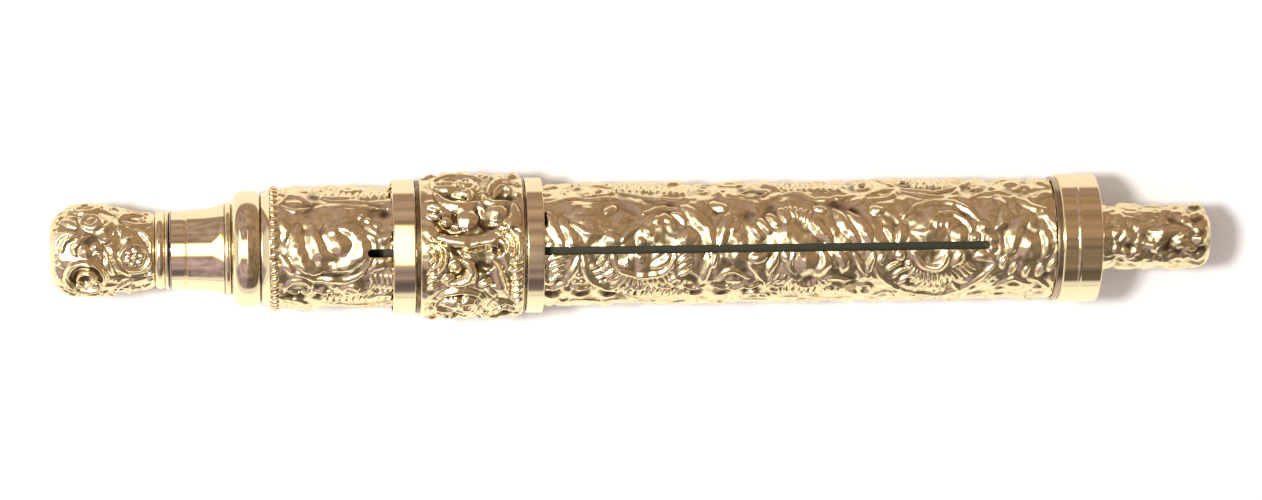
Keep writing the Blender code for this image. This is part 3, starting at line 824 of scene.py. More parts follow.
def hidden_panel(o):
    """What the thumb ring hides at rest goes on in the same way."""
    o.swell(32.6, 0.9, 3.0, 0.12)
    o.scroll(32.6, 0.6, 2.7, 0.6, 20, -1.5, 0.45, 0.24, 1.0)
    o.fan(32.6, 0.6, 3.3, 4.3, 200, 330, 10, 0.22, 0.19)
    o.path([(35.4, 3.7), (36.8, 2.2), (37.6, 0.5)], 0.38, 0.26)
    o.path([(37.0, 3.9), (38.0, 2.4), (38.6, 0.6)], 0.32, 0.25)
    o.boss(38.2, -2.3, 0.85, 0.24)
    o.path([(39.7, -1.3), (38.9, -0.6), (37.5, -0.9), (36.8, -2.1), (37.2, -3.4)], 0.32, 0.22)
    o.path([(40.3, 2.6), (39.8, 1.6), (40.2, 0.6)], 0.34, 0.24)
    o.path([(30.0, 4.9), (33.6, 5.2), (37.0, 4.8), (40.8, 4.7)], 0.20, 0.17)
    o.row((30.2, 6.0), (40.4, 5.9), 19, 1.0, 75, 0.22, 0.17)
    o.path([(30.0, -4.5), (32.6, -5.0), (35.6, -4.6), (39.0, -4.9)], 0.24, 0.17)


def lily_panel(o):
    """Lobe over a lily, in front of the thumb ring."""
    o.swell(45.2, 2.8, 2.1, 0.17)
    o.path([(41.7, 3.4), (42.3, 1.9), (42.9, 0.5)], 0.40, 0.25)
    o.path([(42.8, 3.0), (43.4, 1.8), (43.9, 0.5)], 0.40, 0.25)
    o.path([(43.6, 2.4), (44.8, 1.6), (46.5, 1.2)], 0.24, 0.22)
    o.boss(47.1, 0.9, 0.48, 0.30, 0.30, -20)
    o.boss(47.0, 3.7, 0.38, 0.30, 0.3, 30)
    o.path([(41.5, 4.5), (42.9, 4.8), (44.2, 5.1), (45.8, 4.9), (47.7, 5.0), (49.6, 4.2)], 0.20, 0.18)
    o.path([(44.3, -0.5), (43.8, -1.9), (42.9, -3.3), (41.4, -4.0)], 0.30, 0.25)
    o.path([(44.6, -0.5), (45.0, -2.1), (45.9, -3.3), (47.7, -4.3)], 0.30, 0.25)
    o.bosses(0.22, (44.3, -2.3, 0.3), (44.0, -2.95, 0.26), (44.65, -2.95, 0.26), (44.35, -3.8, 0.34))
    for k in range(4):
        o.rib((41.8, -0.8 - 0.7 * k), (43.2 - 0.12 * k, -0.5 - 0.55 * k), 0.1, 0.24, 0.21)
    for k in range(4):
        o.boss(46.2 + 0.35 * k, -0.9 - 0.62 * k, 0.26, 0.28, 0.28, 55 - 12 * k)
        o.rib((44.9 + 0.4 * k, -1.5 - 0.5 * k), (45.8 + 0.35 * k, -1.2 - 0.55 * k), -0.1, 0.17, 0.16)


def bowl_panel(o):
    """Bowl with a lace border, leaves over it."""
    o.swell(49.9, -0.9, 2.1, -0.08)
    rim = [(47.1, -0.4), (47.6, -1.6), (49.0, -2.35), (50.8, -2.35), (51.9, -1.7), (52.5, -0.4)]
    o.path(rim, 0.26, 0.24)
    o.path([(50.4, -1.6), (51.4, -1.2), (51.9, -0.5)], 0.36, 0.24)
    o.boss(49.5, -0.7, 0.34, 0.22)
    o.fan(49.8, 0.2, 3.0, 4.4, 222, 316, 13, 0.15, 0.17, 2.0)
    o.path([(47.9, 0.6), (48.5, 1.5), (49.5, 2.1)], 0.26, 0.23)
    o.boss(50.2, 1.55, 0.20, 0.26, 0.25, -50)
    o.boss(49.5, 0.65, 0.34, 0.22)
    o.swell(51.8, 1.4, 1.0, -0.10)
    o.path([(50.7, 2.4), (51.5, 2.9), (52.3, 2.5)], 0.32, 0.22)
    o.path([(52.1, 3.3), (52.9, 2.9), (53.3, 2.2)], 0.28, 0.22)
    o.path([(49.7, 3.2), (51.3, 3.8), (52.9, 3.6)], 0.22, 0.18)
    o.boss(53.5, 1.1, 0.58, 0.32, 0.25, 40)
    o.ring(52.6, -2.95, 0.42, 0.24, 0.24)
    for k in range(3):
        o.rib((52.8, -1.15 - 0.6 * k), (53.8, -0.55 - 0.6 * k), 0.1, 0.24, 0.24)
    o.row((47.9, 6.7), (53.6, 5.9), 11, 1.1, 70, 0.24, 0.19)
    o.path([(47.7, 6.0), (50.2, 5.0), (53.8, 4.8)], 0.17, 0.16)


def leaf_panel(o):
    """Two tall leaves over an eye."""
    o.path([(53.1, 4.0), (54.3, 2.7), (55.1, 1.7), (55.5, 0.4)], 0.44, 0.29, 0.15, 0.6)
    o.path([(57.1, 3.2), (56.6, 1.7), (56.3, 0.4)], 0.34, 0.27, 0.15, 0.6)
    o.boss(56.2, 3.9, 0.42, 0.34, 0.35, -15)
    o.swell(54.9, 4.2, 1.3, 0.08)
    o.boss(57.5, 1.9, 0.28, 0.18, 0.25, 60)
    o.path([(55.1, -0.5), (55.2, -1.7), (54.4, -3.6)], 0.28, 0.24)
    o.boss(55.7, -1.0, 0.32, 0.30, 0.45, 80)
    o.path([(55.8, -2.9), (57.2, -2.0), (58.8, -2.9)], 0.24, 0.22)
    o.path([(56.1, -3.4), (57.5, -4.0), (58.9, -3.4)], 0.22, 0.18)
    o.boss(57.4, -3.0, 0.40, 0.22, 0.35, 0)
    o.path([(58.5, -1.3), (59.7, -2.6), (60.4, -4.0), (61.6, -4.6)], 0.28, 0.24)
    o.boss(59.5, -0.85, 0.45, 0.30, 0.40, 10)
    o.path([(57.9, 5.4), (59.2, 6.1), (60.5, 5.5), (59.2, 4.9), (57.9, 5.4)], 0.18, 0.17)


def gadroon_panel(o):
    """Gadrooned dome over a round boss, three leaves beside it."""
    o.swell(62.4, 0.4, 2.2, 0.05)
    for x, t, turn in ((59.4, 1.35, 132), (60.05, 1.95, 130), (60.8, 2.5, 127), (61.65, 2.9, 120)):
        o.boss(x, t, 0.34, 0.32, 0.50, turn)
    o.fan(62.4, 0.3, 2.4, 3.4, 93, 55, 6, 0.18, 0.22, 6)
    o.path([(61.1, -0.4), (60.7, -1.5), (60.3, -2.5)], 0.30, 0.26)
    o.boss(61.8, -0.8, 0.42, 0.24)
    o.row((60.6, -2.9), (62.0, -3.3), 4, 1.3, 65, 0.19, 0.18)
    o.boss(63.5, -1.4, 0.95, 0.22)
    o.path([(64.9, -0.3), (65.2, -1.4), (64.4, -2.6)], 0.36, 0.27)
    o.path([(62.5, -0.5), (62.2, -1.5), (62.7, -2.5)], 0.24, 0.20)
    o.fan(63.4, -1.2, 2.2, 3.3, 215, 312, 11, 0.15, 0.17, 2.0)
    o.path([(64.0, 2.5), (64.7, 1.6), (65.6, 0.5)], 0.40, 0.28)
    o.path([(66.0, 3.3), (67.1, 1.8), (68.0, 0.4)], 0.40, 0.29)
    o.path([(67.2, 3.2), (68.2, 1.8), (69.0, 0.4)], 0.40, 0.29)
    o.boss(64.8, 3.5, 0.34, 0.30, 0.25, -20)
    o.boss(69.6, 3.2, 0.38, 0.32, 0.30, -10)
    o.path([(66.3, -0.5), (66.8, -1.3), (66.7, -2.3)], 0.32, 0.26)
    o.path([(67.6, -0.5), (68.1, -1.5), (68.6, -2.5)], 0.24, 0.24)
    o.path([(69.4, -0.5), (69.0, -1.5), (68.8, -2.5)], 0.24, 0.24)
    o.boss(68.8, -2.8, 0.36, 0.24)
    o.path([(64.6, -3.0), (66.0, -2.9), (67.6, -3.3)], 0.24, 0.18)
    o.ring(68.7, -4.3, 0.5, 0.22, 0.18)
    o.path([(61.6, 5.2), (63.1, 5.3), (64.9, 4.5), (67.8, 5.0)], 0.24, 0.18)
    o.row((61.4, 6.3), (66.6, 6.0), 10, 1.0, 110, 0.22, 0.17)


def large_panel(o):
    """Large cartouche with a ribbed rim."""
    o.rib((70.3, 1.7), (71.0, 0.4), 0.1, 0.26, 0.24)
    o.path([(71.7, 1.9), (71.6, 1.0), (71.3, 0.2)], 0.38, 0.27)
    o.swell(70.4, 3.1, 1.2, 0.10)
    o.path([(71.8, 2.5), (72.8, 3.4), (74.4, 4.0), (76.3, 3.9), (77.6, 3.1), (78.6, 1.9)], 0.24, 0.20)
    o.path([(74.4, 2.5), (75.2, 2.9), (76.4, 2.8), (77.4, 2.0), (77.7, 1.2)], 0.22, 0.19)
    o.swell(74.2, 1.6, 2.1, 0.16)
    o.row((74.8, 2.0), (75.7, 2.0), 3, 0.7, 80, 0.16, 0.16)
    o.boss(76.6, 1.0, 0.52, 0.28, 0.2, 60)
    o.bosses(0.28, (78.7, 1.6, 0.46), (78.0, 0.7, 0.34), (79.4, 0.5, 0.38), (79.4, -0.3, 0.34))
    o.path([(77.9, -1.2), (78.8, -1.0), (79.6, -1.4)], 0.38, 0.24)
    o.bosses(0.25, (71.6, -0.8, 0.40), (72.3, -1.7, 0.34))
    for k in range(3):
        o.rib((70.5 + 0.55 * k, -2.1 - 0.7 * k), (71.6 + 0.6 * k, -1.5 - 0.6 * k), 0.1, 0.24, 0.22)
    o.swell(74.1, -0.8, 1.3, -0.11)
    o.path([(72.6, -0.5), (73.4, -1.6), (74.4, -2.0), (75.3, -1.6), (75.7, -0.5)], 0.28, 0.23)
    o.path([(76.1, -1.8), (76.6, -1.2), (76.9, -0.5)], 0.36, 0.26)
    o.fan(74.6, 0.3, 2.95, 4.2, 232, 322, 14, 0.17, 0.20, 2.0)
    rim = [(69.4, -2.1), (70.7, -3.6), (72.6, -4.9), (74.8, -5.3), (77.0, -4.4), (78.9, -2.7), (79.8, -1.5)]
    o.path(rim, 0.26, 0.22)
    o.path([(68.9, 4.9), (70.4, 5.6), (71.8, 6.0), (70.6, 4.6), (69.0, 4.4)], 0.24, 0.18)
    o.path([(71.8, 5.7), (73.4, 4.9), (75.6, 4.7)], 0.22, 0.17)
    o.path([(76.2, 7.0), (76.8, 5.9), (76.2, 5.0)], 0.26, 0.17)
    o.path([(77.6, 4.2), (78.6, 5.0), (80.1, 5.2), (81.4, 4.9)], 0.24, 0.18)
    o.row((73.2, 6.6), (75.6, 6.4), 5, 1.0, 75, 0.22, 0.17)


def mouth_panel(o):
    """Boss between crescents beside the mouth."""
    o.path([(82.3, 2.5), (81.3, 1.1), (81.1, -0.6)], 0.46, 0.29)
    o.boss(82.7, -0.2, 0.98, 0.23)
    o.path([(83.8, 1.3), (84.2, 0.1), (83.8, -1.2)], 0.38, 0.28)
    o.path([(84.1, 2.6), (85.0, 1.4), (85.1, 0.0)], 0.36, 0.27)
    o.path([(81.5, 4.6), (82.9, 3.4), (84.2, 3.1)], 0.32, 0.22)
    o.path([(80.4, 3.2), (80.4, 2.1), (79.8, 1.4)], 0.32, 0.22)
    for x, t in ((80.5, -1.4), (81.3, -2.1), (82.5, -2.3), (83.6, -2.3), (84.6, -1.9)):
        o.rib((x - 0.25, t - 0.6), (x + 0.15, t + 0.4), 0.1, 0.26, 0.24)
    o.boss(81.5, -4.2, 0.44, 0.22, 0.3, 0)
    o.path([(79.5, -4.1), (81.3, -3.3), (83.0, -4.1)], 0.24, 0.20)
    o.path([(82.9, -3.1), (83.9, -4.0), (84.8, -5.0)], 0.26, 0.20)


def barrel_ornament(circumference):
    """Panels along the slot, scallops below them and small strokes between."""
    o = Ornament(0.011)
    o.repeat(around(circumference))
    panels = (volute_panel, hidden_panel, lily_panel, bowl_panel, leaf_panel, gadroon_panel)
    panels += (large_panel, mouth_panel)
    for panel in panels:
        panel(o)
    # Scallops with hollows below the panels, painted dark for dirt and shade. One repeat has none, as it lies
    # along the upper edge.
    o.repeat([shift for k, shift in enumerate(around(circumference)) if k != 1])
    for k in range(19):
        x = 20.5 + 2.4 * k
        o.path([(x - 0.9, -3.5), (x, -3.8), (x + 0.9, -3.5)], 0.22, 0.22)
        o.hollow([(x - 0.7, -4.15), (x, -4.5), (x + 0.7, -4.15)], 0.46, 0.34)
    o.repeat(around(circumference))
    dents = ((53.9, -2.4), (56.9, -1.2), (42.3, -2.6), (46.4, -2.7), (60.0, -3.2), (66.0, -1.9), (72.3, -3.1))
    for x, t in dents:
        o.hollow([(x - 0.5, t + 0.3), (x, t - 0.1), (x + 0.4, t - 0.6)], 0.36, 0.12)
    faint_dents = ((52.1, 1.6), (58.4, 2.7), (63.3, 1.9), (70.9, 2.4), (73.2, 3.0), (80.9, 0.2), (48.9, 3.4))
    for x, t in faint_dents:
        o.hollow([(x - 0.6, t + 0.4), (x, t), (x + 0.5, t - 0.5)], 0.34, 0.08)
    half = circumference / 2
    period = circumference / REPEATS
    o.fill((19.4, 84.2), (-half, half), 5000, 7, 0.46, 0.17, period, (-5.2, -0.9))
    o.fill((42.0, 84.0), (-half, half), 1600, 23, 0.70, 0.08, period, (1.3, 4.8), bow=3.2, sweep=55)
    return o


def slot_cutter():
    """A long rounded block that cuts the key slot."""
    bm = bmesh.new()
    bmesh.ops.create_cube(bm, size=1.0)
    low = (SLOT_START * MM + ORIGIN_X, -SLOT_HALF * MM, AXIS_Z + SLOT_CUT_LOW_R * MM)
    high = (SLOT_END * MM + ORIGIN_X, SLOT_HALF * MM, AXIS_Z + SLOT_CUT_HIGH_R * MM)
    for vert in bm.verts:
        vert.co = [low[i] if vert.co[i] < 0 else high[i] for i in range(3)]
    upright = [e for e in bm.edges if abs(e.verts[0].co.z - e.verts[1].co.z) > MM]
    bmesh.ops.bevel(bm, geom=upright, offset=SLOT_HALF * 0.9 * MM, segments=6, affect="EDGES", profile=0.5)
    mesh = bpy.data.meshes.new("slot_cutter")
    bm.to_mesh(mesh)
    bm.free()
    return new_object("slot_cutter", mesh)


def build_barrel():
    """The chased tube in lengths that meet edge to edge, each cut by the slot."""
    start = station("barrel_tube", 0)
    end = station("mouth_band", 0) - 0.05
    rows = np.linspace(start, end, BARREL_ROWS * BARREL_LENGTHS + 1)
    ornament = barrel_ornament(2 * math.pi * BARREL_WRAP_R)
    cutter = slot_cutter()
    for k in range(BARREL_LENGTHS):
        part = rows[k * BARREL_ROWS:(k + 1) * BARREL_ROWS + 1]
        outline = [(x, BARREL_GROUND_R, min(1.0, (x - start) / 0.1, (end - x) / 0.1)) for x in part]
        outline += [(part[-1], BARREL_BORE_R, 0.0), (part[0], BARREL_BORE_R, 0.0)]
        obj = chased(f"barrel_{k + 1}", outline, spread(252), BARREL_WRAP_R, ornament)
        modifier = obj.modifiers.new("slot", "BOOLEAN")
        modifier.operation = "DIFFERENCE"
        modifier.solver = "EXACT"
        modifier.object = cutter
        mesh = evaluated_mesh(obj)
        smooth_by_angle(mesh, CHASED_SHARP)
        settle(obj, "barrel", "chased_gold", "barrel_tube")
    bpy.data.objects.remove(cutter)


def ring_ornament(circumference):
    """Scrolls, bosses and arcs with deep hollows, painted dark for dirt and shade."""
    o = Ornament(0.013)
    o.repeat(around(circumference))
    # Upper side: hollow eye, scroll, fan of arcs.
    o.boss(33.0, 7.3, 0.45, 0.28)
    o.path([(32.0, 7.6), (32.5, 6.5), (33.6, 6.4), (34.2, 7.2)], 0.30, 0.28)
    o.ring(34.9, 7.3, 0.55, 0.30, 0.30)
    o.path([(33.9, 5.9), (34.8, 5.8), (35.6, 6.5), (35.9, 7.6)], 0.30, 0.26)
    o.path([(36.8, 5.7), (37.2, 7.0), (38.0, 7.6), (38.9, 7.1)], 0.30, 0.32)
    o.path([(37.2, 5.3), (37.6, 6.2), (38.1, 6.6), (38.8, 6.2)], 0.26, 0.32)
    o.hollow([(37.4, 4.9), (38.1, 5.3), (38.9, 5.0)], 0.46, 0.34)
    o.hollow([(33.4, 5.6), (34.2, 5.2), (35.2, 5.4)], 0.42, 0.34)
    o.path([(32.3, 5.7), (33.1, 4.8), (34.6, 4.2), (35.7, 4.7)], 0.42, 0.34)
    o.path([(31.5, 4.2), (32.2, 4.2), (32.9, 3.9)], 0.26, 0.28)
    o.path([(31.5, 3.4), (32.1, 3.3), (32.6, 3.0)], 0.26, 0.26)
    # Three bosses over the big scroll.
    o.boss(33.2, 2.75, 0.44, 0.30)
    o.boss(34.95, 3.1, 0.78, 0.36)
    o.boss(37.4, 3.7, 0.72, 0.36)
    scroll = [(32.6, 1.4), (33.7, 1.0), (35.2, 0.8), (36.8, 1.0), (38.1, 1.8), (38.9, 3.1), (38.9, 4.3)]
    o.path(scroll, 0.52, 0.36)
    o.hollow([(32.5, 3.6), (32.5, 2.6), (33.0, 2.0), (33.9, 1.8), (34.6, 2.0)], 0.46, 0.36)
    o.hollow([(33.8, 3.9), (33.9, 3.2), (34.0, 2.6)], 0.26, 0.26)
    o.hollow([(35.9, 4.0), (36.1, 3.1), (36.5, 2.4), (37.2, 2.3)], 0.46, 0.36)
    # Eye and small scroll on the middle line, shell arcs to the left, a fan of arcs to the right.
    o.hollow([(33.5, 0.55), (34.0, 0.2), (34.4, -0.2)], 0.50, 0.36)
    o.path([(34.5, 0.3), (35.6, 0.2), (36.7, 0.35)], 0.17, 0.22)
    o.hollow([(37.2, 0.6), (37.5, 0.3), (37.6, -0.1)], 0.54, 0.36)
    for radius in (0.6, 1.1, 1.6):
        o.arc(31.5, -0.3, radius, -65, 80, 0.19, 0.30)
    for radius in (0.75, 1.2, 1.65):
        o.arc(37.7, 0.5, radius, -40, 95, 0.22, 0.30)
    # Lower side: scroll with bosses, a stem, a column of beads and small leaves.
    o.boss(33.9, -1.2, 0.46, 0.32)
    o.path([(34.6, -0.5), (35.2, -1.3), (35.0, -2.3), (34.1, -2.9), (33.1, -2.8)], 0.38, 0.34)
    o.hollow([(34.3, -1.9), (33.7, -2.2), (33.4, -1.8)], 0.26, 0.18)
    o.hollow([(35.8, -0.9), (36.3, -1.4), (36.8, -1.3)], 0.42, 0.34)
    o.hollow([(36.0, -3.0), (36.7, -2.7), (37.3, -2.9)], 0.32, 0.26)
    o.path([(36.9, -0.5), (37.7, -1.4), (38.1, -2.7), (38.3, -4.1)], 0.22, 0.28)
    for t in (-0.8, -1.5, -2.2, -2.9, -3.6, -4.3):
        o.boss(39.0, t, 0.27, 0.34, 0.30, 28)
    o.boss(33.2, -2.3, 0.42, 0.36, 0.20, 30)
    o.boss(34.75, -2.45, 0.44, 0.38, 0.25, 60)
    o.boss(36.45, -2.75, 0.36, 0.34, 0.30, 20)
    for t in (-1.9, -2.6, -3.3):
        o.rib((31.6, t), (32.4, t + 0.25), 0.1, 0.24, 0.26)
    o.path([(32.4, -4.3), (33.3, -3.75), (34.4, -3.6), (35.5, -3.9), (36.3, -4.7)], 0.30, 0.32)
    o.path([(32.4, -5.7), (33.0, -4.9), (34.1, -4.75), (34.9, -5.4)], 0.20, 0.26)
    o.boss(33.7, -5.5, 0.40, 0.28, 0.4, 0)
    o.hollow([(32.9, -4.6), (34.0, -4.25), (35.3, -4.6)], 0.24, 0.18)
    o.boss(37.5, -5.1, 0.42, 0.28)
    o.path([(36.3, -3.4), (37.0, -3.9), (37.3, -4.5)], 0.24, 0.26)
    o.path([(34.4, -6.0), (35.2, -6.8), (35.0, -7.8)], 0.28, 0.28)
    o.path([(36.2, -7.0), (36.8, -8.0), (38.6, -8.0)], 0.28, 0.28)
    half = circumference / 2
    o.fill((31.6, 39.6), (-half, half), 900, 11, 0.42, 0.20)
    return o


def build_ring():
    """The thumb ring: chased sleeve, two polished bands and the key that joins it to the carriage."""
    start = station("ring_sleeve", 0)
    end = station("ring_sleeve", 1)
    step_r = RING_BORE_R + 0.16
    body_start = start + 0.34
    body_end = end - 0.19
    rows = np.linspace(body_start + 0.06, body_end - 0.06, 110)
    edge_r = RING_GROUND_R - 0.05
    outline = [(start, step_r, 0.0), (body_start - 0.02, step_r, 0.0), (body_start, edge_r, 0.2)]
    outline += [(x, RING_GROUND_R, min(1.0, 0.35 + 1.6 * min(x - body_start, body_end - x))) for x in rows]
    outline += [(body_end, edge_r, 0.2), (body_end + 0.02, step_r, 0.0), (end, step_r, 0.0)]
    outline += [(end, RING_BORE_R, 0.0), (start, RING_BORE_R, 0.0)]
    ornament = ring_ornament(2 * math.pi * RING_WRAP_R)
    sleeve = chased("thumb_ring", outline, spread(380, 0.6), RING_WRAP_R, ornament,
                    gain=0.95, chasing=0.20, ditch_shade_and_dirt=0.9)
    # The grooves beside the bands are painted fully dark: painted shade in the narrow steps between the
    # sleeve and the bands.
    spots = np.empty(len(sleeve.data.vertices) * 3)
    sleeve.data.vertices.foreach_get("co", spots)
    spots = spots.reshape(-1, 3)
    radius = np.hypot(spots[:, 1], spots[:, 2] - AXIS_Z) / MM
    pit = np.empty(len(spots), np.float32)
    sleeve.data.attributes["pit"].data.foreach_get("value", pit)
    pit[radius < step_r + 0.02] = 1.0
    sleeve.data.attributes["pit"].data.foreach_set("value", pit)
    smooth_by_angle(sleeve.data, CHASED_SHARP)
    settle(sleeve, "pen_slide", "chased_gold", "ring_sleeve")
    band_r = RING_BORE_R + 0.29
    for node in ("ring_band_rear", "ring_band_front"):
        a = station(node, 0)
        b = station(node, 1)
        soft = 0.10
        outline = half_ellipse(a + soft, band_r - soft, soft, soft, 180, 90, 6)
        outline += half_ellipse(b - soft, band_r - soft, soft, soft, 90, 0, 6)
        outline += [(b, RING_BORE_R), (a, RING_BORE_R)]
        settle(turned(node + "_polished", outline, POLISHED), "pen_slide", "polished_gold", node)
    dress("slide_key", POLISHED, "pen_slide", "polished_gold", 20)


def knob_ornament(circumference):
    """A ringed eye, curling leaves and a medallion."""
    o = Ornament(0.008)
    o.repeat(around(circumference))
    o.ring(2.9, -2.2, 1.60, 0.22, 0.36)
    o.arc(2.9, -2.2, 1.15, 0, 360, 0.20, 0.20, "hollows", tips=1.0)
    o.ring(2.9, -2.2, 0.72, 0.20, 0.32)
    o.swell(2.9, -2.2, 0.50, -0.22)
    o.path([(0.3, -0.2), (0.4, 1.3), (1.0, 1.9), (2.2, 1.9)], 0.26, 0.24)
    o.path([(1.0, 0.2), (1.1, 1.1), (1.7, 1.5), (2.4, 1.5)], 0.24, 0.26)
    o.path([(2.1, -0.1), (2.0, 0.6), (2.5, 1.2), (3.4, 1.8)], 0.26, 0.28)
    o.boss(2.9, 0.4, 0.48, 0.30)
    o.boss(3.9, 0.8, 0.42, 0.30)
    o.ring(3.4, 3.1, 0.72, 0.26, 0.26, 0.8)
    o.boss(3.4, 3.1, 0.42, 0.26)
    o.path([(4.2, 2.3), (5.0, 2.8), (5.5, 3.8)], 0.28, 0.26)
    o.path([(1.4, 4.4), (3.4, 4.9), (5.4, 4.4)], 0.30, 0.20)
    o.path([(0.8, 3.6), (1.6, 3.2), (2.2, 2.6)], 0.34, 0.22)
    # Medallion with a flower of beads in a double frame.
    o.swell(6.6, 2.0, 1.2, 0.14)
    for k in range(6):
        a = math.radians(60 * k + 15)
        o.boss(7.05 + 0.62 * math.cos(a), -0.4 + 0.62 * math.sin(a), 0.30, 0.24)
    o.boss(7.05, -0.4, 0.30, 0.26)
    o.ring(7.05, -0.4, 1.22, 0.20, 0.20)
    o.path([(7.2, 2.5), (8.1, 1.6), (8.5, 0.2), (8.0, -1.6)], 0.26, 0.26)
    o.path([(5.0, 0.9), (5.3, -0.2), (5.7, -1.2), (6.6, -2.2)], 0.30, 0.26)
    o.path([(4.6, 0.3), (4.8, -0.9), (5.2, -2.0)], 0.24, 0.24)
    o.path([(5.3, -4.4), (6.6, -3.2), (7.9, -2.9)], 0.34, 0.22)
    o.path([(5.8, 3.7), (7.1, 3.2), (8.3, 3.6)], 0.32, 0.22)
    half = circumference / 2
    o.fill((0.5, 8.4), (-half, half), 1800, 5, 0.40, 0.18)
    return o


def build_knob():
    """The chased finial: flat end, round belly and narrow waist."""
    end = station("knob_collar", 0) - 0.04
    flat_r = 2.2
    belly_at = 3.0
    belly_r = 3.72
    waist_r = 2.98
    bore_end = 3.8
    outline = [(0.0, 0.0, 0.0), (0.0, flat_r * 0.5, 0.0), (0.0, flat_r, 0.0)]
    for a in np.radians(np.linspace(8, 90, 36)):
        x = belly_at * (1 - math.cos(a))
        r = flat_r + (belly_r - flat_r) * math.sin(a)
        outline.append((x, r, min(1.0, x / 0.6)))
    for x in np.linspace(belly_at, end - 0.08, 72)[1:]:
        u = (x - belly_at) / (end - belly_at)
        r = waist_r + (belly_r - waist_r) * (0.5 + 0.5 * math.cos(math.pi * u))
        outline.append((x, r, min(1.0, (end - x) / 0.4)))
    outline += [(end, waist_r - 0.1, 0.0), (end, KNOB_BORE_R, 0.0)]
    outline += [(bore_end, KNOB_BORE_R, 0.0), (bore_end, 0.0, 0.0)]
    ornament = knob_ornament(2 * math.pi * KNOB_WRAP_R)
    knob = chased("knob", outline, spread(288, 0.6), KNOB_WRAP_R, ornament, gain=0.82)
    mend(knob.data, 1e-7)
    smooth_by_angle(knob.data, CHASED_SHARP)
    settle(knob, "knob", "chased_gold", "knob_body")


def nose_ornament(circumference):
    """Worn foliage: soft lumps and hollows with a few curling ridges."""
    o = Ornament(0.006)
    o.repeat(around(circumference))
    o.path([(90.0, -0.2), (90.3, -1.0), (91.2, -1.4), (92.2, -1.1)], 0.36, 0.20)
    o.path([(91.0, 1.9), (91.6, 1.3), (92.6, 1.2), (93.4, 1.7)], 0.36, 0.20)
    o.path([(92.4, -0.2), (93.2, -0.7), (94.0, -1.5)], 0.32, 0.19)
    o.path([(93.0, 0.5), (94.0, 0.5), (95.2, 0.9), (96.2, 0.9)], 0.36, 0.20)
    o.path([(95.0, -0.6), (96.0, -0.4), (97.0, -0.9)], 0.34, 0.18)
    o.path([(90.4, -2.2), (91.6, -2.2), (92.4, -2.7)], 0.34, 0.18)
    o.path([(94.2, -2.2), (95.2, -1.8), (96.2, -2.0)], 0.34, 0.18)
    o.path([(94.6, 2.3), (95.6, 2.0), (96.4, 2.4)], 0.34, 0.18)
    o.path([(89.0, 0.8), (89.8, 0.6), (90.4, 1.0)], 0.36, 0.18)
    o.path([(88.6, -0.8), (89.2, -1.6), (89.0, -2.5)], 0.34, 0.18)
    for t in (-2.5, -1.0, 0.4, 1.9):
        o.hollow([(96.5, t + 0.2), (97.1, t - 0.1), (97.7, t + 0.3)], 0.34, 0.20)
        o.boss(97.2, t + 0.75, 0.36, 0.14, 0.2, 30)
    o.swell(91.2, -0.5, 0.7, -0.10)
    o.swell(92.9, 0.2, 0.7, -0.10)
    o.swell(94.4, -0.4, 0.8, -0.12)
    o.swell(93.8, 2.3, 0.9, -0.10)
    o.swell(95.6, -1.2, 0.6, -0.10)
    return o


def build_nose():
    """The pencil's chased head, rounded at the tip and bored for the lead."""
    start = station("pencil_nose", 0)
    end = station("pencil_nose", 1)
    mouth = station("mouth_band", 1)
    round_r = 1.1
    taper_r = 0.12
    shoulder = end - round_r
    lip = 0.06
    bore_start = end - 4.5
    outline = [(x, NOSE_GROUND_R, min(1.0, (x - start) / 0.5)) for x in np.linspace(start, mouth, 26)]
    for x in np.linspace(mouth, shoulder, 96)[1:]:
        outline.append((x, NOSE_GROUND_R - taper_r * (x - mouth) / (shoulder - mouth), 1.0))
    for a in np.radians(np.linspace(90, 0, 18))[1:]:
        r = NOSE_GROUND_R - taper_r - round_r + round_r * math.sin(a)
        outline.append((shoulder + round_r * math.cos(a), r, max(0.4, math.sin(a) ** 0.5)))
    outline += [(end, NOSE_BORE_R + lip, 0.0), (end - lip, NOSE_BORE_R, 0.0), (bore_start, NOSE_BORE_R, 0.0)]
    outline += [(bore_start, NOSE_SOCKET_R, 0.0), (start, NOSE_SOCKET_R, 0.0)]
    ornament = nose_ornament(2 * math.pi * NOSE_WRAP_R)
    nose = chased("pencil_head", outline, spread(220, 0.58), NOSE_WRAP_R, ornament,
                  gain=0.42, wobble=0.8, wave_scale=600.0)
    smooth_by_angle(nose.data, CHASED_SHARP)
    settle(nose, "barrel", "chased_gold", "pencil_nose")


# Polished mouldings.

def build_collar():
    """A bead at the knob's seam with a smaller one beside it."""
    a = station("knob_collar", 0)
    b = station("knob_collar", 1)
    bore_r = 2.3
    outline = half_ellipse(a + 0.40, 3.0, 0.40, 0.24, 180, 0, 16)
    outline += half_ellipse(b - 0.17, 3.12, 0.15, 0.17, 180, 0, 12)
    outline += [(b, 3.1), (b, bore_r), (a, bore_r)]
    seams = ((b - 0.03, b + 0.01, 1.0),)
    settle(turned("collar", outline, POLISHED, seams), "knob", "polished_gold", "knob_collar")


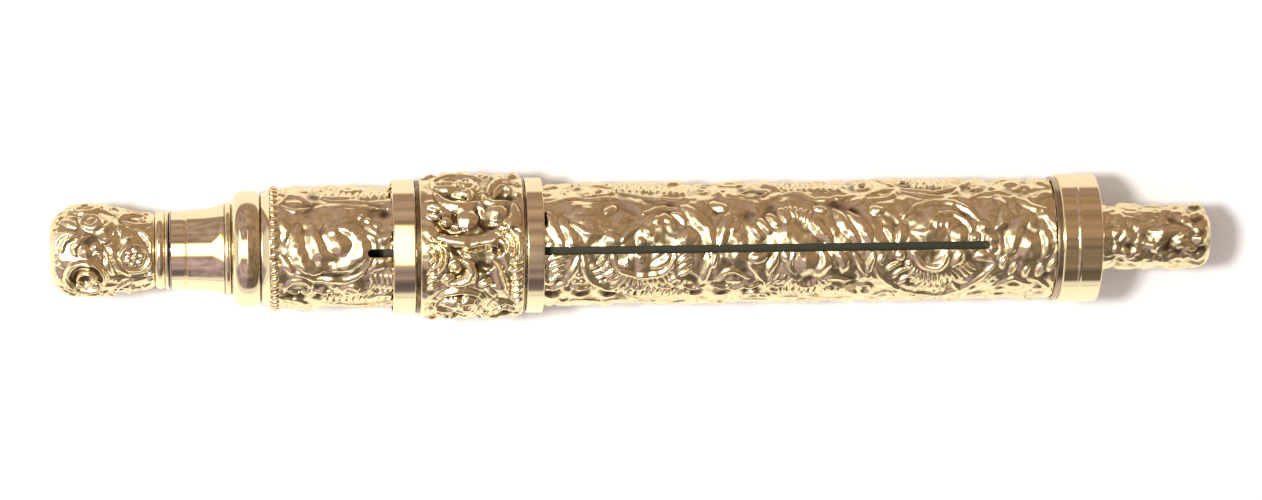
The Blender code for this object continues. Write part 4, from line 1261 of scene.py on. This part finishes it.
def build_neck():
    """The flared neck: a turned line near its narrow end, a small bead at its foot."""
    a = station("neck_sleeve", 0)
    neck_end = station("bead_ring", 0) - SEAM_GAP
    tail_end = station("neck_sleeve", 1)
    tail_r = 3.01
    bore_r = 2.1
    bearing_end = a + 2.4
    bearing_r = 0.92
    groove = a + 1.1
    fillet = neck_end - 0.66
    outline = half_ellipse(a + 0.06, 3.23, 0.06, 0.06, 180, 90, 5)
    outline += [(groove, 3.29), (groove + 0.06, 3.23), (groove + 0.14, 3.23), (groove + 0.24, 3.35)]
    for x in np.linspace(groove + 0.34, fillet, 36):
        u = (x - groove - 0.3) / (neck_end - groove - 0.3)
        outline.append((x, 3.36 + 0.8 * u ** 2.4))
    rise = outline[-1][1]
    outline += [(fillet + 0.03, rise - 0.05), (fillet + 0.09, rise - 0.05)]
    outline += half_ellipse(fillet + 0.33, rise + 0.02, 0.23, 0.13, 180, 0, 12)
    outline += [(neck_end - 0.08, rise - 0.06), (neck_end, rise - 0.06), (neck_end, tail_r)]
    outline += [(tail_end, tail_r), (tail_end, bore_r), (bearing_end, bore_r)]
    outline += [(bearing_end, bearing_r), (a, bearing_r)]
    seams = [(a - 0.01, a + 0.04, 1.0), (fillet + 0.02, fillet + 0.10, 0.7)]
    seams += [(neck_end - 0.09, neck_end + 0.01, 1.0)]
    settle(turned("neck", outline, POLISHED, seams), "barrel", "polished_gold", "neck_sleeve")


def build_shoulder_bead():
    """The moulded ring between neck and barrel: a full bead, a dark groove and a flared lip."""
    foot = station("bead_ring", 0)
    plug_end = station("bead_ring", 1)
    b = station("barrel_tube", 0) - SEAM_GAP
    low_r = 4.44
    bore_r = 3.07
    groove = b - 0.65
    peak = foot - SEAM_GAP + (b - foot + SEAM_GAP) * 0.40
    outline = [(foot, 4.1)]
    for q in np.radians(np.linspace(180, 90, 14)):
        outline.append((peak + (peak - foot) * math.cos(q), 4.22 + 0.70 * math.sin(q)))
    for q in np.radians(np.linspace(90, 0, 14))[1:]:
        outline.append((peak + (groove - 0.12 - peak) * math.cos(q), 4.58 + 0.34 * math.sin(q)))
    outline += [(groove - 0.11, low_r), (groove, low_r), (groove + 0.01, 4.60)]
    for u in np.linspace(0.05, 1.0, 12):
        outline.append((groove + 0.01 + (b - groove - 0.01) * u, 4.60 + 0.40 * u ** 1.4))
    outline += [(b, low_r), (plug_end, low_r), (plug_end, bore_r), (foot, bore_r)]
    seams = ((groove - 0.13, groove + 0.005, 1.0),)
    settle(turned("shoulder_bead", outline, POLISHED, seams), "barrel", "polished_gold", "bead_ring")


def build_mouth_rim():
    """The plain band on the open end: a groove behind it, painted dark with dirt and shade, and a faint swell
    round its middle.
    """
    a = station("mouth_band", 0)
    b = station("mouth_band", 1)
    middle = (a + b) / 2
    band_r = 5.43
    groove_r = 5.16
    lip_r = 4.50
    seat_r = 5.01
    outline = half_ellipse(a + 0.05, 5.20, 0.05, 0.05, 180, 90, 4)
    outline += [(a + 0.20, 5.25), (a + 0.22, groove_r), (a + 0.48, groove_r), (a + 0.50, 5.30)]
    outline += half_ellipse(a + 0.62, 5.35, 0.08, 0.08, 180, 90, 5)
    outline += [(middle - 0.20, band_r)]
    for u in np.linspace(-1.0, 1.0, 15):
        outline.append((middle + 0.18 * u, band_r + 0.04 * math.cos(math.pi / 2 * u)))
    outline += [(middle + 0.20, band_r)]
    outline += half_ellipse(b - 0.12, 5.31, 0.12, 0.12, 90, 0, 7)
    outline += [(b, 4.56)]
    outline += half_ellipse(b - 0.06, 4.56, 0.06, 0.06, 0, -90, 5)
    outline += [(b - 0.4, lip_r), (b - 0.4, seat_r), (a, seat_r)]
    seams = ((a - 0.01, a + 0.49, 0.6),)
    settle(turned("mouth_rim", outline, POLISHED, seams), "barrel", "polished_gold", "mouth_band")


def bead_row_tree():
    """Oval beads set side by side round the barrel's rear edge."""
    sizes = (
        ("Circle Radius", 0.005),
        ("Bead Length", 0.0003),
        ("Bead Width", 0.0003),
        ("Bead Height", 0.0002),
        ("Slant", 0.3),
        ("Place", 0.0),
        ("Axis Height", 0.006),
    )
    inputs = [("Count", "Int", 40)]
    inputs += [(label, "Float", default) for label, default in sizes]
    inputs += [("Finish", "Material", None)]
    g, given = new_tree("bead_row", inputs)
    values = {"Vertices": given["Count"], "Radius": given["Circle Radius"]}
    circle = g.node("GeometryNodeMeshCircle", {}, values)
    bead = g.node("GeometryNodeMeshUVSphere", {}, {"Segments": 16, "Rings": 10, "Radius": 1.0})
    bead = g.node("GeometryNodeSetShadeSmooth", {}, {0: bead})
    turn = g.node("GeometryNodeInputIndex") * (2 * math.pi) / given["Count"]
    rotation = g.node("ShaderNodeCombineXYZ", {}, {"X": given["Slant"], "Z": turn})
    values = {"X": given["Bead Height"], "Y": given["Bead Width"], "Z": given["Bead Length"]}
    size = g.node("ShaderNodeCombineXYZ", {}, values)
    values = {"Points": circle, "Instance": bead, "Rotation": rotation, "Scale": size}
    beads = g.node("GeometryNodeInstanceOnPoints", {}, values)
    place = g.node("ShaderNodeCombineXYZ", {}, {"X": given["Place"], "Z": given["Axis Height"]})
    values = {"Geometry": beads, "Translation": place, "Rotation": (0.0, math.pi / 2, 0.0)}
    laid = g.node("GeometryNodeTransform", {}, values)
    return close_tree(g, laid, given["Finish"])


def build_bead_row():
    """The bead row, with an even raised relief so that the painted recess shade and dirt leave it bright."""
    obj = new_object("bead_row", bpy.data.meshes.new("bead_row"))
    modifier = obj.modifiers.new("beads", "NODES")
    modifier.node_group = bead_row_tree()
    set_inputs(modifier, {
        "Count": 44,
        "Circle Radius": (BARREL_GROUND_R + 0.10) * MM,
        "Bead Length": 0.40 * MM,
        "Bead Width": 0.26 * MM,
        "Bead Height": 0.20 * MM,
        "Slant": math.radians(24),
        "Place": ORIGIN_X + (station("barrel_tube", 0) + 0.36) * MM,
        "Axis Height": AXIS_Z,
        "Finish": CHASED,
    })
    mesh = evaluated_mesh(obj)
    mesh.materials.clear()
    mesh.materials.append(CHASED)
    store(mesh, "relief", np.full(len(mesh.vertices), 0.12))
    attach(obj, "barrel")


def dress(node, finish, body, slot, sharp=30):
    """A CAD piece with smooth shading and its finish."""
    source = frame["nodes"][node]
    bm = bmesh.new()
    bm.from_mesh(source.data)
    bmesh.ops.transform(bm, matrix=source.matrix_world, verts=bm.verts)
    bmesh.ops.remove_doubles(bm, verts=bm.verts, dist=1e-8)
    mesh = bpy.data.meshes.new(node + "_dressed")
    bm.to_mesh(mesh)
    bm.free()
    mesh.materials.append(finish)
    smooth_by_angle(mesh, sharp)
    return settle(new_object(node + "_dressed", mesh), body, slot, node)


def build_works():
    """The nib with its carriage, and the pencil's feed."""
    for node in ("carriage_tube", "carriage_bush", "nib_sleeve"):
        dress(node, OXIDISED_AND_SHADED, "pen_slide", "dull_brass")
    dress("pen_nib", NIB_GOLD, "pen_slide", "nib_gold")
    dress("drag_spring", STEEL, "pen_slide", "steel")
    dress("pencil_tube", OXIDISED_AND_SHADED, "barrel", "dull_brass")
    dress("nose_bush", STEEL, "barrel", "steel")
    dress("propel_screw", STEEL, "knob", "steel")
    dress("screw_flange", STEEL, "knob", "steel")
    dress("lead_driver", OXIDISED_AND_SHADED, "lead_feed", "dull_brass")
    dress("driver_pin", STEEL, "lead_feed", "steel")
    dress("pencil_lead", GRAPHITE, "lead_feed", "graphite")


# Stage: white floor, dim room that is brown on the far side, one soft light overhead to the left.

def build_floor():
    """A white sheet that keeps the pen's shadow. For all rays but the camera's, the floor glows brown past
    its far end and a little brown everywhere behind the pen: painted reflections of a table and of shade.
    """
    bpy.ops.mesh.primitive_plane_add(size=6.0, location=(0.0, 0.0, 0.0))
    floor = bpy.context.object
    floor.name = "floor"
    material, g, shader = new_material("floor_white")
    paper = (0.93, 0.90, 0.84, 1.0)
    looks_white = (FLOOR_GAIN, FLOOR_GAIN, FLOOR_GAIN, 1.0)
    painted_reflection_brown = (0.36, 0.255, 0.20, 1.0)
    shader.inputs["Base Color"].default_value = paper
    shader.inputs["Roughness"].default_value = 0.9
    shader.inputs["Specular IOR Level"].default_value = 0.0
    rays = ("Is Camera Ray", "Is Glossy Ray", "Is Transmission Ray")
    rays = [g.node("ShaderNodeLightPath", {}, {}, ray) for ray in rays]
    camera_ray = rays[0]
    seen = g.largest(*rays)
    glow = g.node("ShaderNodeEmission", {}, {"Color": WHITE, "Strength": 1.0})
    bright = g.node("ShaderNodeBsdfDiffuse", {}, {"Color": looks_white})
    lit = g.node("ShaderNodeMixShader", {}, {0: camera_ray, 1: Value(g, shader.outputs[0]), 2: bright})
    mixed = g.node("ShaderNodeMixShader", {}, {0: seen * FLOOR_GLOW, 1: lit, 2: glow})
    where = g.node("ShaderNodeNewGeometry", {}, {}, "Position")
    behind = g.node("ShaderNodeSeparateXYZ", {}, {0: where}, "Y")
    # Painted reflection: for rays other than the camera's, the floor glows brown past the sheet's end and a
    # little brown behind the pen, standing in for a table and for shade.
    past_end = g.clamp01((behind - PAINTED_TABLE_START) / 0.012)
    reflected_shade_behind = g.clamp01(behind / 0.004) * 0.22
    painted_reflection_share = g.largest(past_end, reflected_shade_behind) * (1 - camera_ray)
    painted_reflection_glow = g.node("ShaderNodeEmission", {}, {"Color": painted_reflection_brown, "Strength": 1.0})
    mixed = g.node("ShaderNodeMixShader", {}, {0: painted_reflection_share, 1: mixed, 2: painted_reflection_glow})
    g.feed(g.tree.nodes["Material Output"].inputs["Surface"], mixed)
    floor.data.materials.append(material)


def build_room():
    """A dim room for reflections: brown behind, lavender to dark in front, pale on the left, bright above."""
    world = bpy.data.worlds.new("room")
    bpy.context.scene.world = world
    world.use_nodes = True
    w = Graph(world.node_tree)
    background = world.node_tree.nodes["Background"]
    where = w.node("ShaderNodeTexCoord", {}, {}, "Generated")
    x, y, z = w.node("ShaderNodeSeparateXYZ", {}, {0: where}, None)
    lavender = (0.465, 0.36, 0.42, 1.0)
    umber = (0.21, 0.162, 0.125, 1.0)
    ink = (0.05, 0.055, 0.07, 1.0)
    rose_brown = (0.40, 0.30, 0.285, 1.0)
    brown = (0.355, 0.24, 0.172, 1.0)
    sheet_white = (0.9, 0.87, 0.80, 1.0)
    wall_white = (0.95, 0.88, 0.80, 1.0)
    panel_rim = (1.10, 0.92, 0.30, 1.0)
    panel_white = (1.75, 1.75, 1.70, 1.0)
    # Walls: the near side with a dark strip, the far side, and a mottle over both.
    front = w.clamp01(0.5 - y * 2.5)
    right = w.clamp01(0.5 + (x - 0.03) * 5.0)
    near = w.mix(right, lavender, umber)
    middle = (0.3 + w.clamp01((x + 0.045) / 0.03) * 0.45) * (1 - w.clamp01((x - 0.05) / 0.03) * 0.5)
    strip = w.clamp01(1.4 - abs(z - 0.40) / 0.18) * front * middle
    near = w.mix(strip, near, ink)
    far = w.mix(right, rose_brown, brown)
    colour = w.mix(front, far, near)
    mottle = w.node("ShaderNodeTexNoise", {}, {"Vector": where, "Scale": 5.0, "Detail": 3.0}, "Fac")
    shade = 0.10 + mottle * 1.85
    colour = w.node("ShaderNodeVectorMath", {"operation": "SCALE"}, {0: colour, "Scale": shade})
    # Pale sheet low in front and pale wall on the left.
    low = w.clamp01((0.22 - z) / 0.10) * front
    colour = w.mix(low, colour, sheet_white)
    wall = w.clamp01((-0.55 - x) / 0.15) * w.clamp01((0.62 - z) / 0.12) * w.clamp01((0.5 - abs(y)) / 0.15)
    colour = w.mix(wall * 0.8, colour, wall_white)
    # Bright panel overhead, wider towards its ends, with a warm rim.
    across = x / w.largest(z, 0.01)
    depth = y / w.largest(z, 0.01)
    panel = w.clamp01((across + 1.25) / 0.25) * w.clamp01((0.050 - across) / 0.010)
    wider = w.largest(-0.50 - across, 0.0) * 1.4 + w.clamp01((across - 0.016) / 0.012) * 0.55
    near_edge = w.clamp01((depth + 0.27 + wider * 0.5) / 0.10)
    far_edge = w.clamp01((0.49 + wider * 0.9 - depth) / 0.10)
    panel = panel * near_edge * far_edge
    colour = w.mix(w.clamp01(panel * 2.0), colour, panel_rim)
    colour = w.mix(w.clamp01(panel * 2.0 - 1.0), colour, panel_white)
    # The camera itself sees plain white.
    camera_ray = w.node("ShaderNodeLightPath", {}, {}, "Is Camera Ray")
    colour = w.mix(camera_ray, colour, WHITE)
    w.feed(background.inputs["Color"], colour)


def build_lamp():
    """A small soft lamp to the left, so that shadows fall to the right of the band and the nose."""
    lamp = bpy.data.lights.new("left_lamp", "AREA")
    lamp.shape = "DISK"
    lamp.size = 0.08
    lamp.energy = 2.6
    obj = new_object("left_lamp", lamp)
    obj.location = (-0.22, 0.055, 0.52)
    obj.rotation_euler = (-obj.location).to_track_quat("-Z", "Y").to_euler()


def build_camera():
    """Looks almost straight down, a little from the left and from the far side of the slot."""
    distance = 0.42
    yaw = math.radians(4.4)
    tilt = math.radians(6.0)
    roll = math.radians(0.32)
    field = 0.1065
    target = Vector((-0.00025, -0.00053, AXIS_Z))
    toward = Vector((-math.sin(yaw), math.sin(tilt), 0.0))
    toward.z = math.sqrt(1.0 - toward.length_squared)
    forward = -toward
    right = forward.cross(Vector((0.0, 1.0, 0.0))).normalized()
    up = right.cross(forward)
    turned_right = right * math.cos(roll) - up * math.sin(roll)
    turned_up = up * math.cos(roll) + right * math.sin(roll)
    camera = bpy.data.cameras.new("camera")
    camera.sensor_width = 36.0
    camera.lens = camera.sensor_width * distance / field
    camera.clip_start = 0.01
    obj = new_object("camera", camera)
    turn = Matrix((turned_right, turned_up, -forward)).transposed()
    obj.matrix_world = Matrix.Translation(target + toward * distance) @ turn.to_4x4()
    bpy.context.scene.camera = obj


bpy.context.scene.view_settings.view_transform = "Standard"
build_barrel()
build_bead_row()
build_ring()
build_knob()
build_nose()
build_collar()
build_neck()
build_shoulder_bead()
build_mouth_rim()
build_works()
build_floor()
build_room()
build_lamp()
build_camera()
